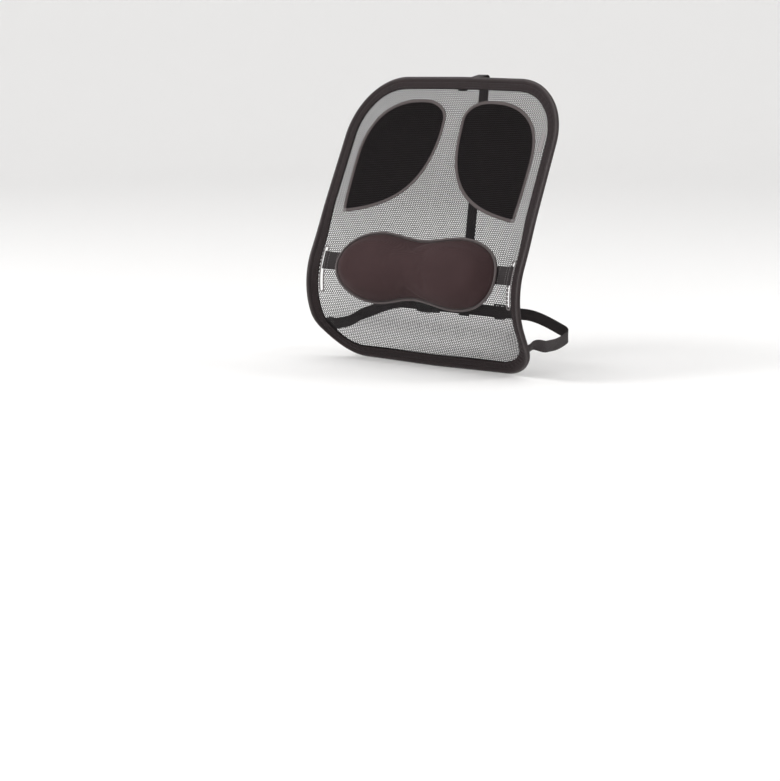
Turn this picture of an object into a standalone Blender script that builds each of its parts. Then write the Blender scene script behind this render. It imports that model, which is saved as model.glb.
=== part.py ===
"""Mesh back support for an office chair, with a lumbar cushion that rides up and down on it.

A spring wire loop holds a black mesh panel stretched inside a folded fabric border. Two wing
shapes are taped onto the mesh at shoulder-blade height. The peanut-shaped lumbar cushion is
held by webbing that passes through a slit at each side and meets behind the mesh. A webbing
strap with a side-release buckle goes round the chair's backrest, and a second strap goes over
the backrest's top and down to the first one.

Metres, +Z up. X is across, -Y is towards the sitter. The origin is the middle of the chair
strap's inner face, where it bears on the back of the chair.
"""

import math

import bmesh
import bpy
import numpy as np
from mathutils import Vector
from mathutils.geometry import interpolate_bezier

# ---------------------------------------------------------------- driving sizes

# Side profile: a straight lean above, an arc at the lumbar curve, a straight lean below.
LUMBAR_RADIUS = 0.125
LUMBAR_AXIS_Y = -0.0356
LUMBAR_AXIS_Z = 0.046
LEAN_ABOVE = math.radians(25.9)
LEAN_BELOW = math.radians(43.5)

# Front outline of the border.
TOP_Z = 0.403
BOTTOM_Z = -0.091
HALF_WIDTH_BELOW = 0.2290
HALF_WIDTH_ABOVE = 0.2220
TOP_CORNER_RADIUS = 0.105
BOTTOM_CORNER_RADIUS = 0.078
EDGE_CROWN = 0.003
EDGE_CROWN_RADIUS = 2.0

# The mesh sags behind the border: deep and level across the lumbar curve, shallow above it.
MESH_SAG = 0.020
SAG_SQUARENESS = 5.2
SAG_END_BELOW_Z = -0.089
SAG_FULL_FROM_Z = -0.014
SAG_FULL_TO_Z = 0.112
UPPER_SAG = 0.006
UPPER_SAG_FROM_Z = 0.190
UPPER_SAG_TO_Z = 0.300
SAG_END_ABOVE_Z = 0.385

# Frame, border and mesh.
WIRE_RADIUS = 0.00225
WIRE_CLEARANCE = 0.00065
FABRIC = 0.0008
BORDER_WIDTH = 0.0205
BORDER_LIP = 0.0012
MESH_THICKNESS = 0.0006
MESH_TUCK = 0.0105
GAP = 0.0003
TAPE_GAP = 0.0005
PANEL_GAP = 0.0010

# Wing shapes: (x, z) of four knots on the right-hand outline.
WING_TAPE_WIDTH = 0.0056
WING_TAPE_THICKNESS = 0.0006
WING_PANEL_THICKNESS = 0.0005
WING_CORNER = (0.1795, 0.1705)
WING_SIDE = (0.1835, 0.260)
WING_TOP = (0.0690, 0.3610)
WING_INNER = (0.0200, 0.329)

# Lumbar cushion.
CUSHION_HALF_WIDTH = 0.1665
CUSHION_CENTRE_Z = 0.0780
LOBE_CENTRE_X = 0.084
LOBE_HALF_HEIGHT = 0.0550
WAIST_ABOVE = 0.0460
WAIST_BELOW = 0.0440
CUSHION_CROWN = 0.034
CUSHION_EDGE_REACH = 0.060
WAIST_DIP = 0.18
WAIST_DIP_REACH = 0.045
BACK_EDGE_REACH = 0.030
SEAM_LIFT = 0.0062
BACK_LIFT = 0.0026
COVER = 0.0010
FOAM_PLAY = 0.0018
FOAM_INSET = 0.006
PIPING_RADIUS = 0.0024

# Cushion webbing and the slits that it passes through.
TAB_WIDTH = 0.032
TAB_THICKNESS = 0.0014
TAB_CENTRE_ANGLE = math.radians(20.0)
TAB_BEND_RADIUS = 0.0026
SLIT_FROM_BORDER = 0.0030
SLIT_WIDTH = 0.0056
CUSHION_TRAVEL_DOWN = math.radians(18.0)
CUSHION_TRAVEL_UP = math.radians(1.8)
SLIT_END_PLAY = 0.0020
SLIT_TAPE_WIDTH = 0.0022
SLIT_TAPE_THICKNESS = 0.0005
SLIT_TAPE_CORNER = 0.0016
CLOSURE_LENGTH = 0.070
HOOK_THICKNESS = 0.0010

# Chair strap, its buckle and its adjuster.
STRAP_WIDTH = 0.020
STRAP_THICKNESS = 0.0014
STRAP_SIDE_X = 0.2255
STRAP_SIDE_Z = -0.0375
STRAP_ANCHOR_Z = -0.045
STRAP_REAR_CORNER = 0.016
STRAP_LEVEL_X = 0.130
STRAP_RISE_FROM_Y = -0.055
STRAP_END_GAP = 0.0006
BUCKLE_X = -0.085
SOCKET_LENGTH = 0.034
SOCKET_HEIGHT = 0.0275
SOCKET_DEPTH = 0.0095
SOCKET_WALL = 0.0016
SOCKET_FLOOR = 0.0095
SLOT_LENGTH = 0.0040
SLOT_BAR = 0.0028
SLOT_PLAY = 0.0006
PLUG_REACH = 0.0136
PRONG_WIDTH = 0.0026
TONGUE_HALF_WIDTH = 0.0022
ADJUSTER_X = 0.075
ADJUSTER_LENGTH = 0.024
ADJUSTER_HEIGHT = 0.0265
ADJUSTER_BAR = 0.0032
PATCH_LENGTH = 0.024
PATCH_WIDTH = 0.010
PATCH_THICKNESS = 0.0014
ANCHOR_GAP = 0.0006
ANCHOR_INSET = 0.0145

# Strap over the top of the backrest.
TOP_STRAP_KNEE_Z = 0.3965
TOP_STRAP_BEND_Y = 0.0610
TOP_STRAP_BEND_Z = 0.4065
TOP_STRAP_LOWER_Y = 0.0040
TAG_LENGTH = 0.030
TAG_WIDTH = 0.0075
TAG_Z = 0.2980
TAG_GAP = 0.0022

LOOP_STATIONS = 100
CUSHION_STATIONS = 48

# ---------------------------------------------------------------- materials


def make_material(name, color, roughness, metallic=0.0):
    material = bpy.data.materials.new(name)
    material.use_nodes = True
    shader = material.node_tree.nodes["Principled BSDF"]
    shader.inputs["Base Color"].default_value = (*color, 1.0)
    shader.inputs["Roughness"].default_value = roughness
    shader.inputs["Metallic"].default_value = metallic
    return material


# ---------------------------------------------------------------- the curved surface


def profile_y(z, inset):
    """Depth of the side profile at height z, moved back by inset square to itself."""
    radius = LUMBAR_RADIUS - inset
    above = LUMBAR_AXIS_Z + radius * math.sin(LEAN_ABOVE)
    below = LUMBAR_AXIS_Z - radius * math.sin(LEAN_BELOW)
    if z > above:
        return LUMBAR_AXIS_Y - radius * math.cos(LEAN_ABOVE) + (z - above) * math.tan(LEAN_ABOVE)
    if z < below:
        return LUMBAR_AXIS_Y - radius * math.cos(LEAN_BELOW) + (below - z) * math.tan(LEAN_BELOW)
    return LUMBAR_AXIS_Y - math.sqrt(radius**2 - (z - LUMBAR_AXIS_Z) ** 2)


def smooth_step(value, start, end):
    t = min(1.0, max(0.0, (value - start) / (end - start)))
    return t * t * (3.0 - 2.0 * t)


def mesh_inset(x, z):
    """How far the mesh lies behind the border's plane."""
    share = min(1.0, abs(x) / HALF_WIDTH_BELOW)
    rise = smooth_step(z, SAG_END_BELOW_Z, SAG_FULL_FROM_Z)
    change = smooth_step(z, SAG_FULL_TO_Z, UPPER_SAG_FROM_Z)
    fall = 1.0 - smooth_step(z, UPPER_SAG_TO_Z, SAG_END_ABOVE_Z)
    lumbar = MESH_SAG * (1.0 - share**SAG_SQUARENESS) * rise * (1.0 - change)
    return lumbar + UPPER_SAG * (1.0 - share**2) * change * fall


def surface_y(x, z):
    return profile_y(z, mesh_inset(x, z))


def on_surface(x, z, lift=0.0):
    """A point lifted square off the mesh surface; lift is positive towards the sitter."""
    step = 0.0005
    slope_x = (surface_y(x + step, z) - surface_y(x - step, z)) / (2 * step)
    slope_z = (surface_y(x, z + step) - surface_y(x, z - step)) / (2 * step)
    normal = Vector((slope_x, -1.0, slope_z)).normalized()
    return Vector((x, surface_y(x, z), z)) + normal * lift


def on_arc(x, radius, angle):
    """A point at a radius and an angle above level, measured about the lumbar axis."""
    return Vector((x, LUMBAR_AXIS_Y - radius * math.cos(angle), LUMBAR_AXIS_Z + radius * math.sin(angle)))


def mesh_radius(x):
    return LUMBAR_RADIUS - mesh_inset(x, LUMBAR_AXIS_Z)


# ---------------------------------------------------------------- outlines


def rounded_path(corners, closed, step=0.002):
    """Points along straight runs joined by arcs; each corner is (x, y, radius)."""
    points = []
    count = len(corners)
    for index, (x, y, radius) in enumerate(corners):
        here = Vector((x, y))
        if not closed and index in (0, count - 1):
            points.append(here)
            continue
        before = Vector(corners[index - 1][:2]) - here
        after = Vector(corners[(index + 1) % count][:2]) - here
        half_angle = before.angle(after) / 2
        setback = radius / math.tan(half_angle)
        start = here + before.normalized() * setback
        end = here + after.normalized() * setback
        centre = here + (before.normalized() + after.normalized()).normalized() * radius / math.sin(half_angle)
        turn = (start - centre).angle_signed(end - centre)
        pieces = max(2, math.ceil(abs(turn) * radius / step))
        for piece in range(pieces + 1):
            angle = -turn * piece / pieces
            spoke = start - centre
            turned = Vector(
                (
                    spoke.x * math.cos(angle) - spoke.y * math.sin(angle),
                    spoke.x * math.sin(angle) + spoke.y * math.cos(angle),
                )
            )
            points.append(centre + turned)
    return points


def evenly_spaced(points, count, closed):
    """The same path with count points at equal distances along it."""
    path = np.array([tuple(point) for point in points])
    if closed:
        path = np.vstack([path, path[:1]])
    lengths = np.r_[0.0, np.cumsum(np.linalg.norm(np.diff(path, axis=0), axis=1))]
    stops = np.linspace(0.0, lengths[-1], count + 1 if closed else count)
    if closed:
        stops = stops[:-1]
    columns = [np.interp(stops, lengths, path[:, axis]) for axis in range(path.shape[1])]
    return [Vector(row) for row in np.stack(columns, axis=1)]


def inward(points):
    """Unit vectors to the inside of a closed outline that runs anticlockwise."""
    vectors = []
    for index in range(len(points)):
        along = points[(index + 1) % len(points)] - points[index - 1]
        vectors.append(Vector((-along.y, along.x)).normalized())
    return vectors


def border_outline():
    top_corner_z = TOP_Z - EDGE_CROWN
    bottom_corner_z = BOTTOM_Z + EDGE_CROWN
    corners = [
        (0.0, BOTTOM_Z, EDGE_CROWN_RADIUS),
        (HALF_WIDTH_BELOW, bottom_corner_z, BOTTOM_CORNER_RADIUS),
        (HALF_WIDTH_ABOVE, top_corner_z, TOP_CORNER_RADIUS),
        (0.0, TOP_Z, EDGE_CROWN_RADIUS),
        (-HALF_WIDTH_ABOVE, top_corner_z, TOP_CORNER_RADIUS),
        (-HALF_WIDTH_BELOW, bottom_corner_z, BOTTOM_CORNER_RADIUS),
    ]
    return evenly_spaced(rounded_path(corners, closed=True), LOOP_STATIONS, closed=True)


def half_width_at(z, inset=0.0):
    """Half the width at height z of the border's outline drawn in by inset."""
    share = (z - BOTTOM_Z) / (TOP_Z - BOTTOM_Z)
    side = HALF_WIDTH_BELOW + (HALF_WIDTH_ABOVE - HALF_WIDTH_BELOW) * share
    top_centre = TOP_Z - EDGE_CROWN - TOP_CORNER_RADIUS
    bottom_centre = BOTTOM_Z + EDGE_CROWN + BOTTOM_CORNER_RADIUS
    if z > top_centre:
        radius, drop = TOP_CORNER_RADIUS, z - top_centre
    elif z < bottom_centre:
        radius, drop = BOTTOM_CORNER_RADIUS, bottom_centre - z
    else:
        return side - inset
    return side - radius + math.sqrt(max(0.0, (radius - inset) ** 2 - drop**2))


def wing_outline(side, count=48):
    """A closed wing shape with one sharp lower outer corner; side is 1 or -1."""
    corner, flank = Vector(WING_CORNER), Vector(WING_SIDE)
    top, inner = Vector(WING_TOP), Vector(WING_INNER)
    runs = [
        (corner, corner + Vector((0.0035, 0.028)), flank - Vector((0, 0.025)), flank),
        (flank, flank + Vector((0.001, 0.070)), top + Vector((0.070, 0.0015)), top),
        (top, top - Vector((0.025, 0)), inner + Vector((0, 0.020)), inner),
        (inner, inner - Vector((0.003, 0.118)), corner + Vector((-0.0925, 0.0125)), corner),
    ]
    points = []
    for run in runs:
        points += [point.to_2d() for point in interpolate_bezier(*[knot.to_3d() for knot in run], 24)][:-1]
    points = evenly_spaced(points, count, closed=True)
    points = [(points[i - 1] + points[i] * 2 + points[(i + 1) % count]) / 4 for i in range(count)]
    points = [Vector((point.x * side, point.y)) for point in points]
    return points if side > 0 else points[::-1]


def cushion_outline(grow=0.0, count=CUSHION_STATIONS):
    """The peanut shape: two half ellipses joined by a waist."""
    end_reach = CUSHION_HALF_WIDTH - LOBE_CENTRE_X
    points = []
    for step in range(400):
        angle = 2 * math.pi * step / 400
        upper = math.sin(angle) >= 0
        waist = WAIST_ABOVE if upper else WAIST_BELOW
        if abs(math.cos(angle)) > 0.5:
            swing = math.acos((abs(math.cos(angle)) - 0.5) / 0.5)
            x = LOBE_CENTRE_X + end_reach * math.cos(swing)
            height = LOBE_HALF_HEIGHT * math.sin(swing)
        else:
            x = LOBE_CENTRE_X * abs(math.cos(angle)) / 0.5
            blend = (1 - math.cos(math.pi * x / LOBE_CENTRE_X)) / 2
            height = waist + (LOBE_HALF_HEIGHT - waist) * blend
        points.append(Vector((math.copysign(x, math.cos(angle)), CUSHION_CENTRE_Z + (height if upper else -height))))
    points = evenly_spaced(points, count, closed=True)
    return [point - direction * grow for point, direction in zip(points, inward(points))]


# ---------------------------------------------------------------- closed solids


def add_solid(name, points, faces, material, pivot=None, sharp_angle=40.0):
    """One closed mesh object with its faces turned out and its origin at the pivot."""
    pivot = Vector(pivot or (0, 0, 0))
    mesh = bpy.data.meshes.new(name)
    mesh.from_pydata([Vector(point) - pivot for point in points], [], faces)
    work = bmesh.new()
    work.from_mesh(mesh)
    bmesh.ops.recalc_face_normals(work, faces=work.faces)
    if work.calc_volume(signed=True) < 0:
        bmesh.ops.reverse_faces(work, faces=work.faces)
    work.to_mesh(mesh)
    work.free()
    mesh.materials.append(material)
    mesh.shade_smooth()
    mesh.set_sharp_from_angle(angle=math.radians(sharp_angle))
    solid = bpy.data.objects.new(name, mesh)
    solid.location = pivot
    bpy.context.scene.collection.objects.link(solid)
    return solid


def ring_faces(rows, columns, rows_closed, columns_closed=True):
    faces = []
    for row in range(rows if rows_closed else rows - 1):
        for column in range(columns if columns_closed else columns - 1):
            after_row, after_column = (row + 1) % rows, (column + 1) % columns
            faces.append(
                (
                    row * columns + column,
                    row * columns + after_column,
                    after_row * columns + after_column,
                    after_row * columns + column,
                )
            )
    return faces


def swept_loop(name, sections, material, **options):
    """A closed ring made of cross-sections."""
    columns = len(sections[0])
    points = [point for section in sections for point in section]
    return add_solid(name, points, ring_faces(len(sections), columns, True), material, **options)


def swept_run(name, sections, material, **options):
    """A run of cross-sections with a flat cap at each end."""
    columns = len(sections[0])
    points = [point for section in sections for point in section]
    faces = ring_faces(len(sections), columns, False)
    faces.append(tuple(range(columns)))
    faces.append(tuple(range(len(points) - columns, len(points))))
    return add_solid(name, points, faces, material, **options)


def stacked_loops(name, first_pole, loops, last_pole, material, **options):
    """A closed skin from one pole, through a stack of loops, to another pole."""
    columns = len(loops[0])
    points = [first_pole] + [point for loop in loops for point in loop] + [last_pole]
    faces = [tuple(i + 1 for i in face) for face in ring_faces(len(loops), columns, False)]
    for column in range(columns):
        after = (column + 1) % columns
        faces.append((0, 1 + after, 1 + column))
        last_row = 1 + (len(loops) - 1) * columns
        faces.append((len(points) - 1, last_row + column, last_row + after))
    return add_solid(name, points, faces, material, **options)


def box_corners(low, high):
    return [Vector((x, y, z)) for x in (low[0], high[0]) for y in (low[1], high[1]) for z in (low[2], high[2])]


BOX_FACES = [(0, 1, 3, 2), (4, 6, 7, 5), (0, 4, 5, 1), (2, 3, 7, 6), (0, 2, 6, 4), (1, 5, 7, 3)]


def add_box(name, low, high, material, bevel=0.0, **options):
    solid = add_solid(name, box_corners(low, high), BOX_FACES, material, **options)
    if bevel:
        rounding = solid.modifiers.new("edges", "BEVEL")
        rounding.width = bevel
        rounding.segments = 2
        rounding.limit_method = "ANGLE"
    return solid


def cut(solid, cutter):
    """Removes the cutter's shape from the solid and hides the cutter."""
    difference = solid.modifiers.new(cutter.name, "BOOLEAN")
    difference.operation = "DIFFERENCE"
    difference.solver = "EXACT"
    difference.object = cutter
    cutter.hide_render = True
    cutter.display_type = "WIRE"


# ---------------------------------------------------------------- frame, border and mesh


def loop_frames(outline):
    """For each outline point, a function that places (distance in, lift) on the surface."""
    places = []
    for point, inside in zip(outline, inward(outline)):

        def place(distance, lift, point=point, inside=inside):
            flat = point + inside * distance
            return on_surface(flat.x, flat.y, lift)

        places.append(place)
    return places


def bead_radius():
    return WIRE_RADIUS + WIRE_CLEARANCE + FABRIC + 0.0002


def build_frame_wire(places, material):
    depth = bead_radius()
    sections = []
    for place in places:
        centre = place(depth, 0.0)
        toward = (place(depth + 0.001, 0.0) - centre).normalized()
        out = (place(depth, 0.001) - centre).normalized()
        ring = [
            centre + WIRE_RADIUS * (math.cos(a) * toward + math.sin(a) * out)
            for a in [2 * math.pi * k / 6 for k in range(6)]
        ]
        sections.append(ring)
    return swept_loop("frame_wire", sections, material)


def build_border(places, material):
    """Fabric folded round the wire, with a front and a back layer that hold the mesh's edge."""
    bead = bead_radius()
    fold = WIRE_RADIUS + WIRE_CLEARANCE
    outside = BORDER_LIP + FABRIC
    section = [(BORDER_WIDTH, BORDER_LIP), (BORDER_WIDTH, outside), (2.3 * bead, outside + 0.0002)]
    for degrees in (62, 121, 180, 239, 298):
        angle = math.radians(degrees)
        section.append((bead + bead * math.cos(angle), bead * math.sin(angle)))
    section += [(2.3 * bead, -outside - 0.0002), (BORDER_WIDTH, -outside), (BORDER_WIDTH, -BORDER_LIP)]
    mouth = math.asin(BORDER_LIP / fold)
    for step in range(7):
        angle = -mouth - (2 * math.pi - 2 * mouth) * step / 6
        section.append((bead + fold * math.cos(angle), fold * math.sin(angle)))
    sections = [[place(distance, lift) for distance, lift in section] for place in places]
    return swept_loop("border_sleeve", sections, material)


def build_mesh_panel(material):
    half = MESH_THICKNESS / 2
    low, high = BOTTOM_Z + EDGE_CROWN + MESH_TUCK, TOP_Z - EDGE_CROWN - MESH_TUCK
    curve_from, curve_to = LUMBAR_AXIS_Z - 0.105, LUMBAR_AXIS_Z + 0.060
    heights = list(low + BOTTOM_CORNER_RADIUS * np.array([0.0, 0.015, 0.05, 0.11]))
    heights += list(np.linspace(curve_from, curve_to, 15)[:-1])
    heights += list(np.linspace(curve_to, UPPER_SAG_FROM_Z + 0.006, 9)[:-1])
    heights += list(np.linspace(UPPER_SAG_FROM_Z + 0.006, high - TOP_CORNER_RADIUS * 0.5, 6)[:-1])
    heights += list(high - TOP_CORNER_RADIUS * np.array([0.5, 0.33, 0.2, 0.11, 0.05, 0.015, 0.0]))
    shares = [0.0, 0.22, 0.42, 0.58, 0.70, 0.79, 0.86, 0.92, 0.965, 1.0]
    shares = [-share for share in shares[:0:-1]] + shares
    front, back = [], []
    for z in heights:
        reach = half_width_at(z, MESH_TUCK)
        front.append([on_surface(share * reach, z, half) for share in shares])
        back.append([on_surface(share * reach, z, -half) for share in shares])
    rows, columns = len(heights), len(shares)
    points = [point for row in front for point in row] + [point for row in back for point in row]
    offset = rows * columns
    grid = ring_faces(rows, columns, False, False)
    faces = grid + [tuple(offset + i for i in face) for face in grid]
    rim = list(range(columns))
    rim += [row * columns + columns - 1 for row in range(1, rows)]
    rim += [(rows - 1) * columns + column for column in range(columns - 2, -1, -1)]
    rim += [row * columns for row in range(rows - 2, 0, -1)]
    for here, after in zip(rim, rim[1:] + rim[:1]):
        faces.append((here, after, offset + after, offset + here))
    panel = add_solid("mesh_panel", points, faces, material, sharp_angle=60)
    for side in (1, -1):
        low_z, high_z = slit_ends()
        near = slit_outer_x() - SLIT_WIDTH
        across = sorted((side * near, side * slit_outer_x()))
        cutter = add_box(
            "slit_cutter_" + ("right" if side > 0 else "left"),
            (across[0], surface_y(near, LUMBAR_AXIS_Z) - 0.02, low_z),
            (across[1], surface_y(near, LUMBAR_AXIS_Z) + 0.04, high_z),
            material,
        )
        cut(panel, cutter)
    return panel


def slit_outer_x():
    middle = LUMBAR_AXIS_Z + LUMBAR_RADIUS * math.sin(TAB_CENTRE_ANGLE - CUSHION_TRAVEL_DOWN / 2)
    return half_width_at(middle) - BORDER_WIDTH - SLIT_FROM_BORDER


def tab_half_angle(radius):
    return TAB_WIDTH / 2 / radius


def slit_ends():
    """Heights of the slit's ends: the cushion webbing's travel plus a little play."""
    radius = mesh_radius(slit_outer_x() - SLIT_WIDTH / 2)
    half = tab_half_angle(radius)
    lowest = TAB_CENTRE_ANGLE - half - CUSHION_TRAVEL_DOWN
    highest = TAB_CENTRE_ANGLE + half + CUSHION_TRAVEL_UP
    low = on_arc(0, radius + TAB_BEND_RADIUS, lowest).z - SLIT_END_PLAY
    high = on_arc(0, radius + TAB_BEND_RADIUS, highest).z + SLIT_END_PLAY
    return low, high


def build_slit_binding(side, name, material):
    """A narrow tape round the slit, on the mesh's front."""
    low, high = slit_ends()
    outer, inner = slit_outer_x(), slit_outer_x() - SLIT_WIDTH
    half = SLIT_TAPE_WIDTH / 2
    corners = [
        (inner - half, low - half, SLIT_TAPE_CORNER),
        (outer + half, low - half, SLIT_TAPE_CORNER),
        (outer + half, high + half, SLIT_TAPE_CORNER),
        (inner - half, high + half, SLIT_TAPE_CORNER),
    ]
    path = rounded_path(corners, closed=True, step=0.0012)
    points = []
    for here, after in zip(path, path[1:] + path[:1]):
        pieces = max(1, round((after - here).length / 0.011))
        points += [here.lerp(after, piece / pieces) for piece in range(pieces)]
    base = MESH_THICKNESS / 2 + GAP
    top = base + SLIT_TAPE_THICKNESS
    sections = []
    for point, inside in zip(points, inward(points)):
        edge_in = point + inside * (half - GAP)
        edge_out = point - inside * (half - GAP)
        sections.append(
            [
                on_surface(side * edge_in.x, edge_in.y, base),
                on_surface(side * edge_in.x, edge_in.y, top),
                on_surface(side * edge_out.x, edge_out.y, top),
                on_surface(side * edge_out.x, edge_out.y, base),
            ]
        )
    return swept_loop(name, sections, material)


def build_wing(side, label, panel_material, tape_material):
    outline = wing_outline(side)
    directions = inward(outline)
    half = WING_TAPE_WIDTH / 2
    base = MESH_THICKNESS / 2 + TAPE_GAP
    top = base + WING_TAPE_THICKNESS
    sections = []
    for point, inside in zip(outline, directions):
        edge_in, edge_out = point + inside * half, point - inside * half
        sections.append(
            [
                on_surface(edge_in.x, edge_in.y, base),
                on_surface(edge_in.x, edge_in.y, top),
                on_surface(edge_out.x, edge_out.y, top),
                on_surface(edge_out.x, edge_out.y, base),
            ]
        )
    swept_loop("wing_tape_" + label, sections, tape_material)
    centre = sum(outline, Vector((0, 0))) / len(outline)
    scales = (0.2, 0.5, 0.78, 1.0)
    front = [[centre.lerp(point, scale) for point in outline] for scale in scales]
    near = -MESH_THICKNESS / 2 - PANEL_GAP
    far = near - WING_PANEL_THICKNESS
    loops = [[on_surface(p.x, p.y, near) for p in loop] for loop in front]
    loops += [[on_surface(p.x, p.y, far) for p in loop] for loop in front[::-1]]
    stacked_loops(
        "wing_panel_" + label,
        on_surface(centre.x, centre.y, near),
        loops,
        on_surface(centre.x, centre.y, far),
        panel_material,
        sharp_angle=60,
    )


# ---------------------------------------------------------------- lumbar cushion


def distance_inside(point, edge):
    return float(np.min(np.hypot(edge[:, 0] - point.x, edge[:, 1] - point.y)))


def crown_lift(point, edge):
    """Height of the cushion's front above its seam."""
    depth = min(1.0, distance_inside(point, edge) / CUSHION_EDGE_REACH)
    waist = 1.0 - WAIST_DIP * math.exp(-((point.x / WAIST_DIP_REACH) ** 2))
    return CUSHION_CROWN * waist * (1.0 - (1.0 - depth) ** 2.5)


def back_drop(point, edge):
    """Depth of the cushion's back behind its seam."""
    depth = min(1.0, distance_inside(point, edge) / BACK_EDGE_REACH)
    return (SEAM_LIFT - BACK_LIFT) * (1.0 - (1.0 - depth) ** 2)


def cushion_loops(shrink, scales, lift_of):
    """Loops of the cushion's outline, drawn in to its middle, at the lift that lift_of gives."""
    edge = np.array([tuple(p) for p in cushion_outline(0.0, 400)])
    outline = cushion_outline(-shrink)
    centre = Vector((0.0, CUSHION_CENTRE_Z))
    loops = []
    for scale in scales:
        flat = [centre.lerp(point, scale) for point in outline]
        loops.append([on_surface(point.x, point.y, lift_of(point, edge)) for point in flat])
    return loops, on_surface(centre.x, centre.y, lift_of(centre, edge))


def build_cushion(materials, pivot):
    crown_scales = (0.15, 0.40, 0.62, 0.78, 0.90, 0.96, 1.0)
    back_scales = (1.0, 0.93, 0.80, 0.55, 0.25)

    def front_inside(point, edge):
        return SEAM_LIFT + GAP + crown_lift(point, edge)

    def front_outside(point, edge):
        return front_inside(point, edge) + COVER

    def back_inside(point, edge):
        return SEAM_LIFT - GAP - back_drop(point, edge)

    def back_outside(point, edge):
        return back_inside(point, edge) - COVER

    outer, outer_pole = cushion_loops(0.0, crown_scales, front_outside)
    inner, inner_pole = cushion_loops(0.0, crown_scales[::-1], front_inside)
    stacked_loops(
        "cushion_front_cover", outer_pole, outer + inner, inner_pole, materials["cushion"], pivot=pivot
    )
    outer, outer_pole = cushion_loops(0.0, back_scales[::-1], back_outside)
    inner, inner_pole = cushion_loops(0.0, back_scales, back_inside)
    stacked_loops(
        "cushion_back_cover", outer_pole, outer + inner, inner_pole, materials["cushion_back"], pivot=pivot
    )

    def foam_front(point, edge):
        return max(front_inside(point, edge) - FOAM_PLAY, SEAM_LIFT)

    def foam_back(point, edge):
        return min(back_inside(point, edge) + FOAM_PLAY / 2, SEAM_LIFT - GAP)

    front, front_pole = cushion_loops(FOAM_INSET, crown_scales, foam_front)
    back, back_pole = cushion_loops(FOAM_INSET, back_scales, foam_back)
    stacked_loops("cushion_foam", front_pole, front + back, back_pole, materials["foam"], pivot=pivot)

    outline = cushion_outline(PIPING_RADIUS + GAP)
    sections = []
    for point, inside in zip(outline, inward(outline)):
        centre = on_surface(point.x, point.y, SEAM_LIFT)
        toward = on_surface(point.x + inside.x * 0.001, point.y + inside.y * 0.001, SEAM_LIFT) - centre
        out = on_surface(point.x, point.y, SEAM_LIFT + 0.001) - centre
        toward, out = toward.normalized(), out.normalized()
        ring = []
        for corner in range(6):
            angle = math.pi * (corner + 0.5) / 3
            ring.append(centre + PIPING_RADIUS * (math.cos(angle) * toward + math.sin(angle) * out))
        sections.append(ring)
    swept_loop("cushion_piping", sections, materials["piping"], pivot=pivot)


def tab_path(side, rear_offset, rear_end_x):
    """Middle line of one cushion strap, as (x, distance from the lumbar axis).

    It leaves the cushion in front of the mesh, bends back through the slit and runs behind the
    mesh to rear_end_x, where it lies rear_offset further back."""
    turn_x = slit_outer_x() - SLIT_WIDTH
    start_x = CUSHION_HALF_WIDTH + 2 * PIPING_RADIUS + 2 * GAP
    path = []
    for share in (0.0, 0.5, 1.0):
        x = start_x + (turn_x - start_x) * share
        path.append((x, mesh_radius(x) + TAB_BEND_RADIUS + 0.0012 * (1 - share)))
    for degrees in (40, 90, 140):
        angle = math.radians(90 - degrees)
        x = turn_x + TAB_BEND_RADIUS * math.cos(angle)
        path.append((x, mesh_radius(turn_x) + TAB_BEND_RADIUS * math.sin(angle)))
    for share in np.linspace(0.0, 1.0, 9):
        x = turn_x + (rear_end_x - turn_x) * share
        settle = smooth_step(-x, -0.075, -0.040) * rear_offset
        path.append((x, mesh_radius(x) - TAB_BEND_RADIUS - settle))
    return [(side * x, radius) for x, radius in path]


def arc_ribbon(name, path, half_width, thickness, material, pivot):
    """Webbing whose width lies along the lumbar arc; path is (x, radius) points."""
    sections = []
    angles = [TAB_CENTRE_ANGLE + half_width * share / 0.116 for share in (-1.0, 0.0, 1.0)]
    for index, (x, radius) in enumerate(path):
        before = Vector(path[max(0, index - 1)])
        after = Vector(path[min(len(path) - 1, index + 1)])
        along = (after - before).normalized()
        across = Vector((-along.y, along.x)) * thickness / 2
        section = [on_arc(x + across.x, radius + across.y, angle) for angle in angles]
        section += [on_arc(x - across.x, radius - across.y, angle) for angle in angles[::-1]]
        sections.append(section)
    return swept_run(name, sections, material, pivot=pivot)


def build_cushion_webbing(materials, pivot):
    half = TAB_WIDTH / 2
    step_back = TAB_THICKNESS + 2 * HOOK_THICKNESS + 3 * GAP
    overlap = CLOSURE_LENGTH / 2
    left = tab_path(-1, 0.0, -overlap)
    right = tab_path(1, step_back, -overlap)
    arc_ribbon("cushion_strap_left", left, half, TAB_THICKNESS, materials["webbing"], pivot)
    arc_ribbon("cushion_strap_right", right, half, TAB_THICKNESS, materials["webbing"], pivot)
    reach = overlap - 0.005
    first = TAB_BEND_RADIUS + TAB_THICKNESS / 2 + GAP + HOOK_THICKNESS / 2
    for label, depth in (("loop", first), ("hook", first + HOOK_THICKNESS + GAP)):
        path = [(x, mesh_radius(x) - depth) for x in np.linspace(-reach, reach, 4)]
        arc_ribbon(
            "cushion_closure_" + label, path, half - 0.001, HOOK_THICKNESS, materials[label], pivot
        )


# ---------------------------------------------------------------- straps and hardware


def ribbon(name, stations, width, thickness, material, **options):
    """Webbing through (centre, rough width direction) stations."""
    sections = []
    for index, (centre, rough) in enumerate(stations):
        before = stations[max(0, index - 1)][0]
        after = stations[min(len(stations) - 1, index + 1)][0]
        along = (after - before).normalized()
        breadth = (rough - along * rough.dot(along)).normalized()
        face = along.cross(breadth)
        edge, skin = breadth * width / 2, face * thickness / 2
        sections.append([centre + edge + skin, centre - edge + skin, centre - edge - skin, centre + edge - skin])
    return swept_run(name, sections, material, **options)


def border_back():
    """Lift of the border's flat back layer, plus the stitching's gap."""
    return -(BORDER_LIP + FABRIC + ANCHOR_GAP)


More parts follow.
